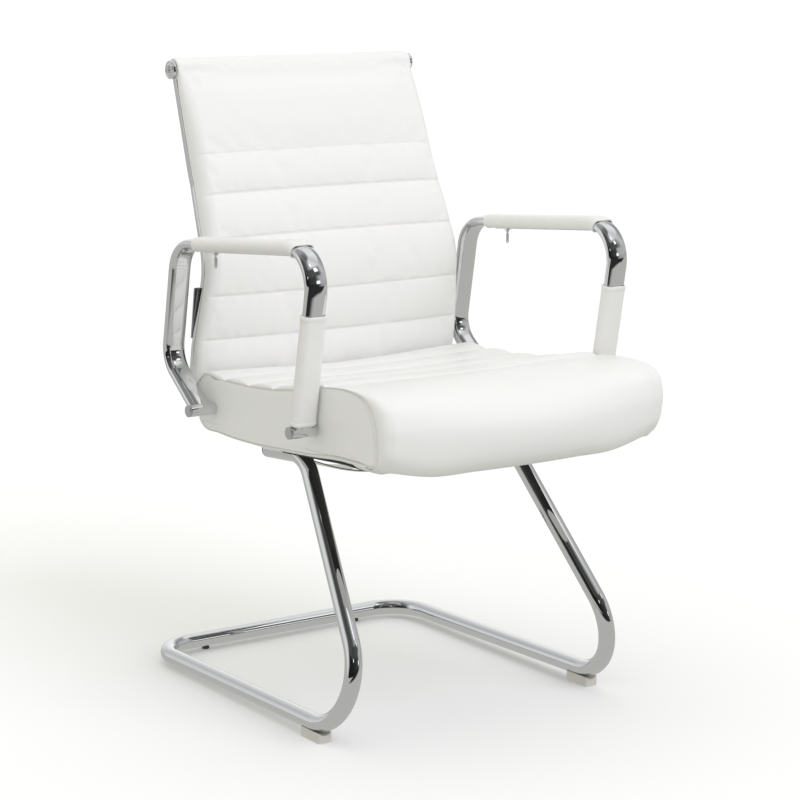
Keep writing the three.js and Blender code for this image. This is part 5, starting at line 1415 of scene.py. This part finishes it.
    def side_walls(self, name, grid, opposite):
        """The pad's skin, its two sides closed by a ladder between each place and its opposite."""
        skin = mesh_of(name, grid, ends=False)
        rows, columns = grid.shape[:2]
        co = np.empty(rows * columns * 3)
        skin.vertices.foreach_get("co", co)
        faces = [list(p.vertices) for p in skin.polygons]
        bpy.data.meshes.remove(skin)
        j = np.arange(columns)
        top, foot = j[(opposite - j) % columns == j]
        j = (foot + np.arange((top - foot) % columns + 1)) % columns
        other = (opposite - j) % columns
        ladder = np.stack([j[:-1], j[1:], other[1:], other[:-1]], -1)
        for base in (0, (rows - 1) * columns):
            faces += [list(dict.fromkeys(q)) for q in (ladder + base).tolist()]
        mesh = bpy.data.meshes.new(name)
        mesh.from_pydata(co.reshape(-1, 3).tolist(), [], faces)
        shell = bmesh.new()
        shell.from_mesh(mesh)
        bmesh.ops.recalc_face_normals(shell, faces=shell.faces)
        shell.to_mesh(mesh)
        shell.free()
        return mesh

    def sewn(self, grid, fine, sizes):
        """Ribs and seams on the front face along its normal, as on the seat."""
        normal = outward(grid)
        phase = fine["phase"]
        inside = (phase > 0) & (phase < self.ribs)
        sink = np.where(inside, np.abs(2 * (phase % 1) - 1) ** 3, 0)
        sink = np.where(fine["front"] & (phase <= 0), np.clip(1 + phase / 0.5, 0, 1) ** 3, sink)
        sink = np.where(phase >= self.ribs, 0.5 * np.clip(1 - (phase - self.ribs) / 0.5, 0, 1) ** 3, sink)
        near = np.abs(phase - np.round(phase)) * self.pitch * MM
        seam = np.where(fine["seam"], np.exp(-(near / sizes.seam_width) ** 2), 0) * sizes.groove
        light = np.where(phase > self.ribs - 0.5, 0.25, 1.0)
        sink = sink * np.where(phase > self.ribs - 0.5, 0.45, 1.0)
        side = smooth_step((1 - np.abs(fine["across"])) / 0.045)[:, None]
        return grid - normal * ((sink * sizes.rib_depth + seam * light)[None] * side)[..., None]

    def thread(self, grid, fine, sizes):
        normal = outward(grid)
        inner = np.nonzero(np.abs(fine["across"]) < 0.975)[0]
        rows = []
        for number in range(self.ribs):
            j = int(np.argmin(np.abs(fine["phase"] - number - 0.035)))
            rows.append(stitches(grid[inner, j], normal[inner, j], sizes.stitch, sizes.stitch_gap, sizes.thread * 0.8))
        placed("back_thread", stitch_mesh("back_thread", rows), looks()["thread"])


class ChairPanel(bpy.types.Panel):
    """Lists the chair's steps in the sidebar"""

    bl_idname = "VIEW3D_PT_chair"
    bl_label = "Visitor chair"
    bl_space_type = "VIEW_3D"
    bl_region_type = "UI"
    bl_category = "Chair"

    def draw(self, context):
        for step in STEPS:
            self.layout.operator(step.bl_idname)
        for name in GROUPS:
            group = getattr(context.scene, name)
            box = self.layout.box()
            for key in group.bl_rna.properties.keys():
                if key not in ("rna_type", "name"):
                    box.prop(group, key)


STEPS = (ChairStage, ChairBase, ChairUnderSeat, ChairRails, ChairArms, ChairSleeves, ChairSeat, ChairBack)
GROUPS = {
    "chair_metal": MetalSizes,
    "chair_seat": SeatSizes,
    "chair_back": BackSizes,
    "chair_colours": ChairColours,
}


def register():
    for group in GROUPS.values():
        bpy.utils.register_class(group)
    for name, group in GROUPS.items():
        setattr(bpy.types.Scene, name, bpy.props.PointerProperty(type=group))
    for step in (*STEPS, ChairPanel):
        bpy.utils.register_class(step)


def unregister():
    for step in (ChairPanel, *reversed(STEPS)):
        bpy.utils.unregister_class(step)
    for name in GROUPS:
        delattr(bpy.types.Scene, name)
    for group in reversed(GROUPS.values()):
        bpy.utils.unregister_class(group)


def main():
    register()
    bpy.ops.chair.stage()
    bpy.ops.chair.sled_base()
    bpy.ops.chair.under_seat()
    bpy.ops.chair.rails()
    bpy.ops.chair.arms()
    bpy.ops.chair.sleeves()
    bpy.ops.chair.seat()
    bpy.ops.chair.back()


if __name__ == "__main__":
    main()
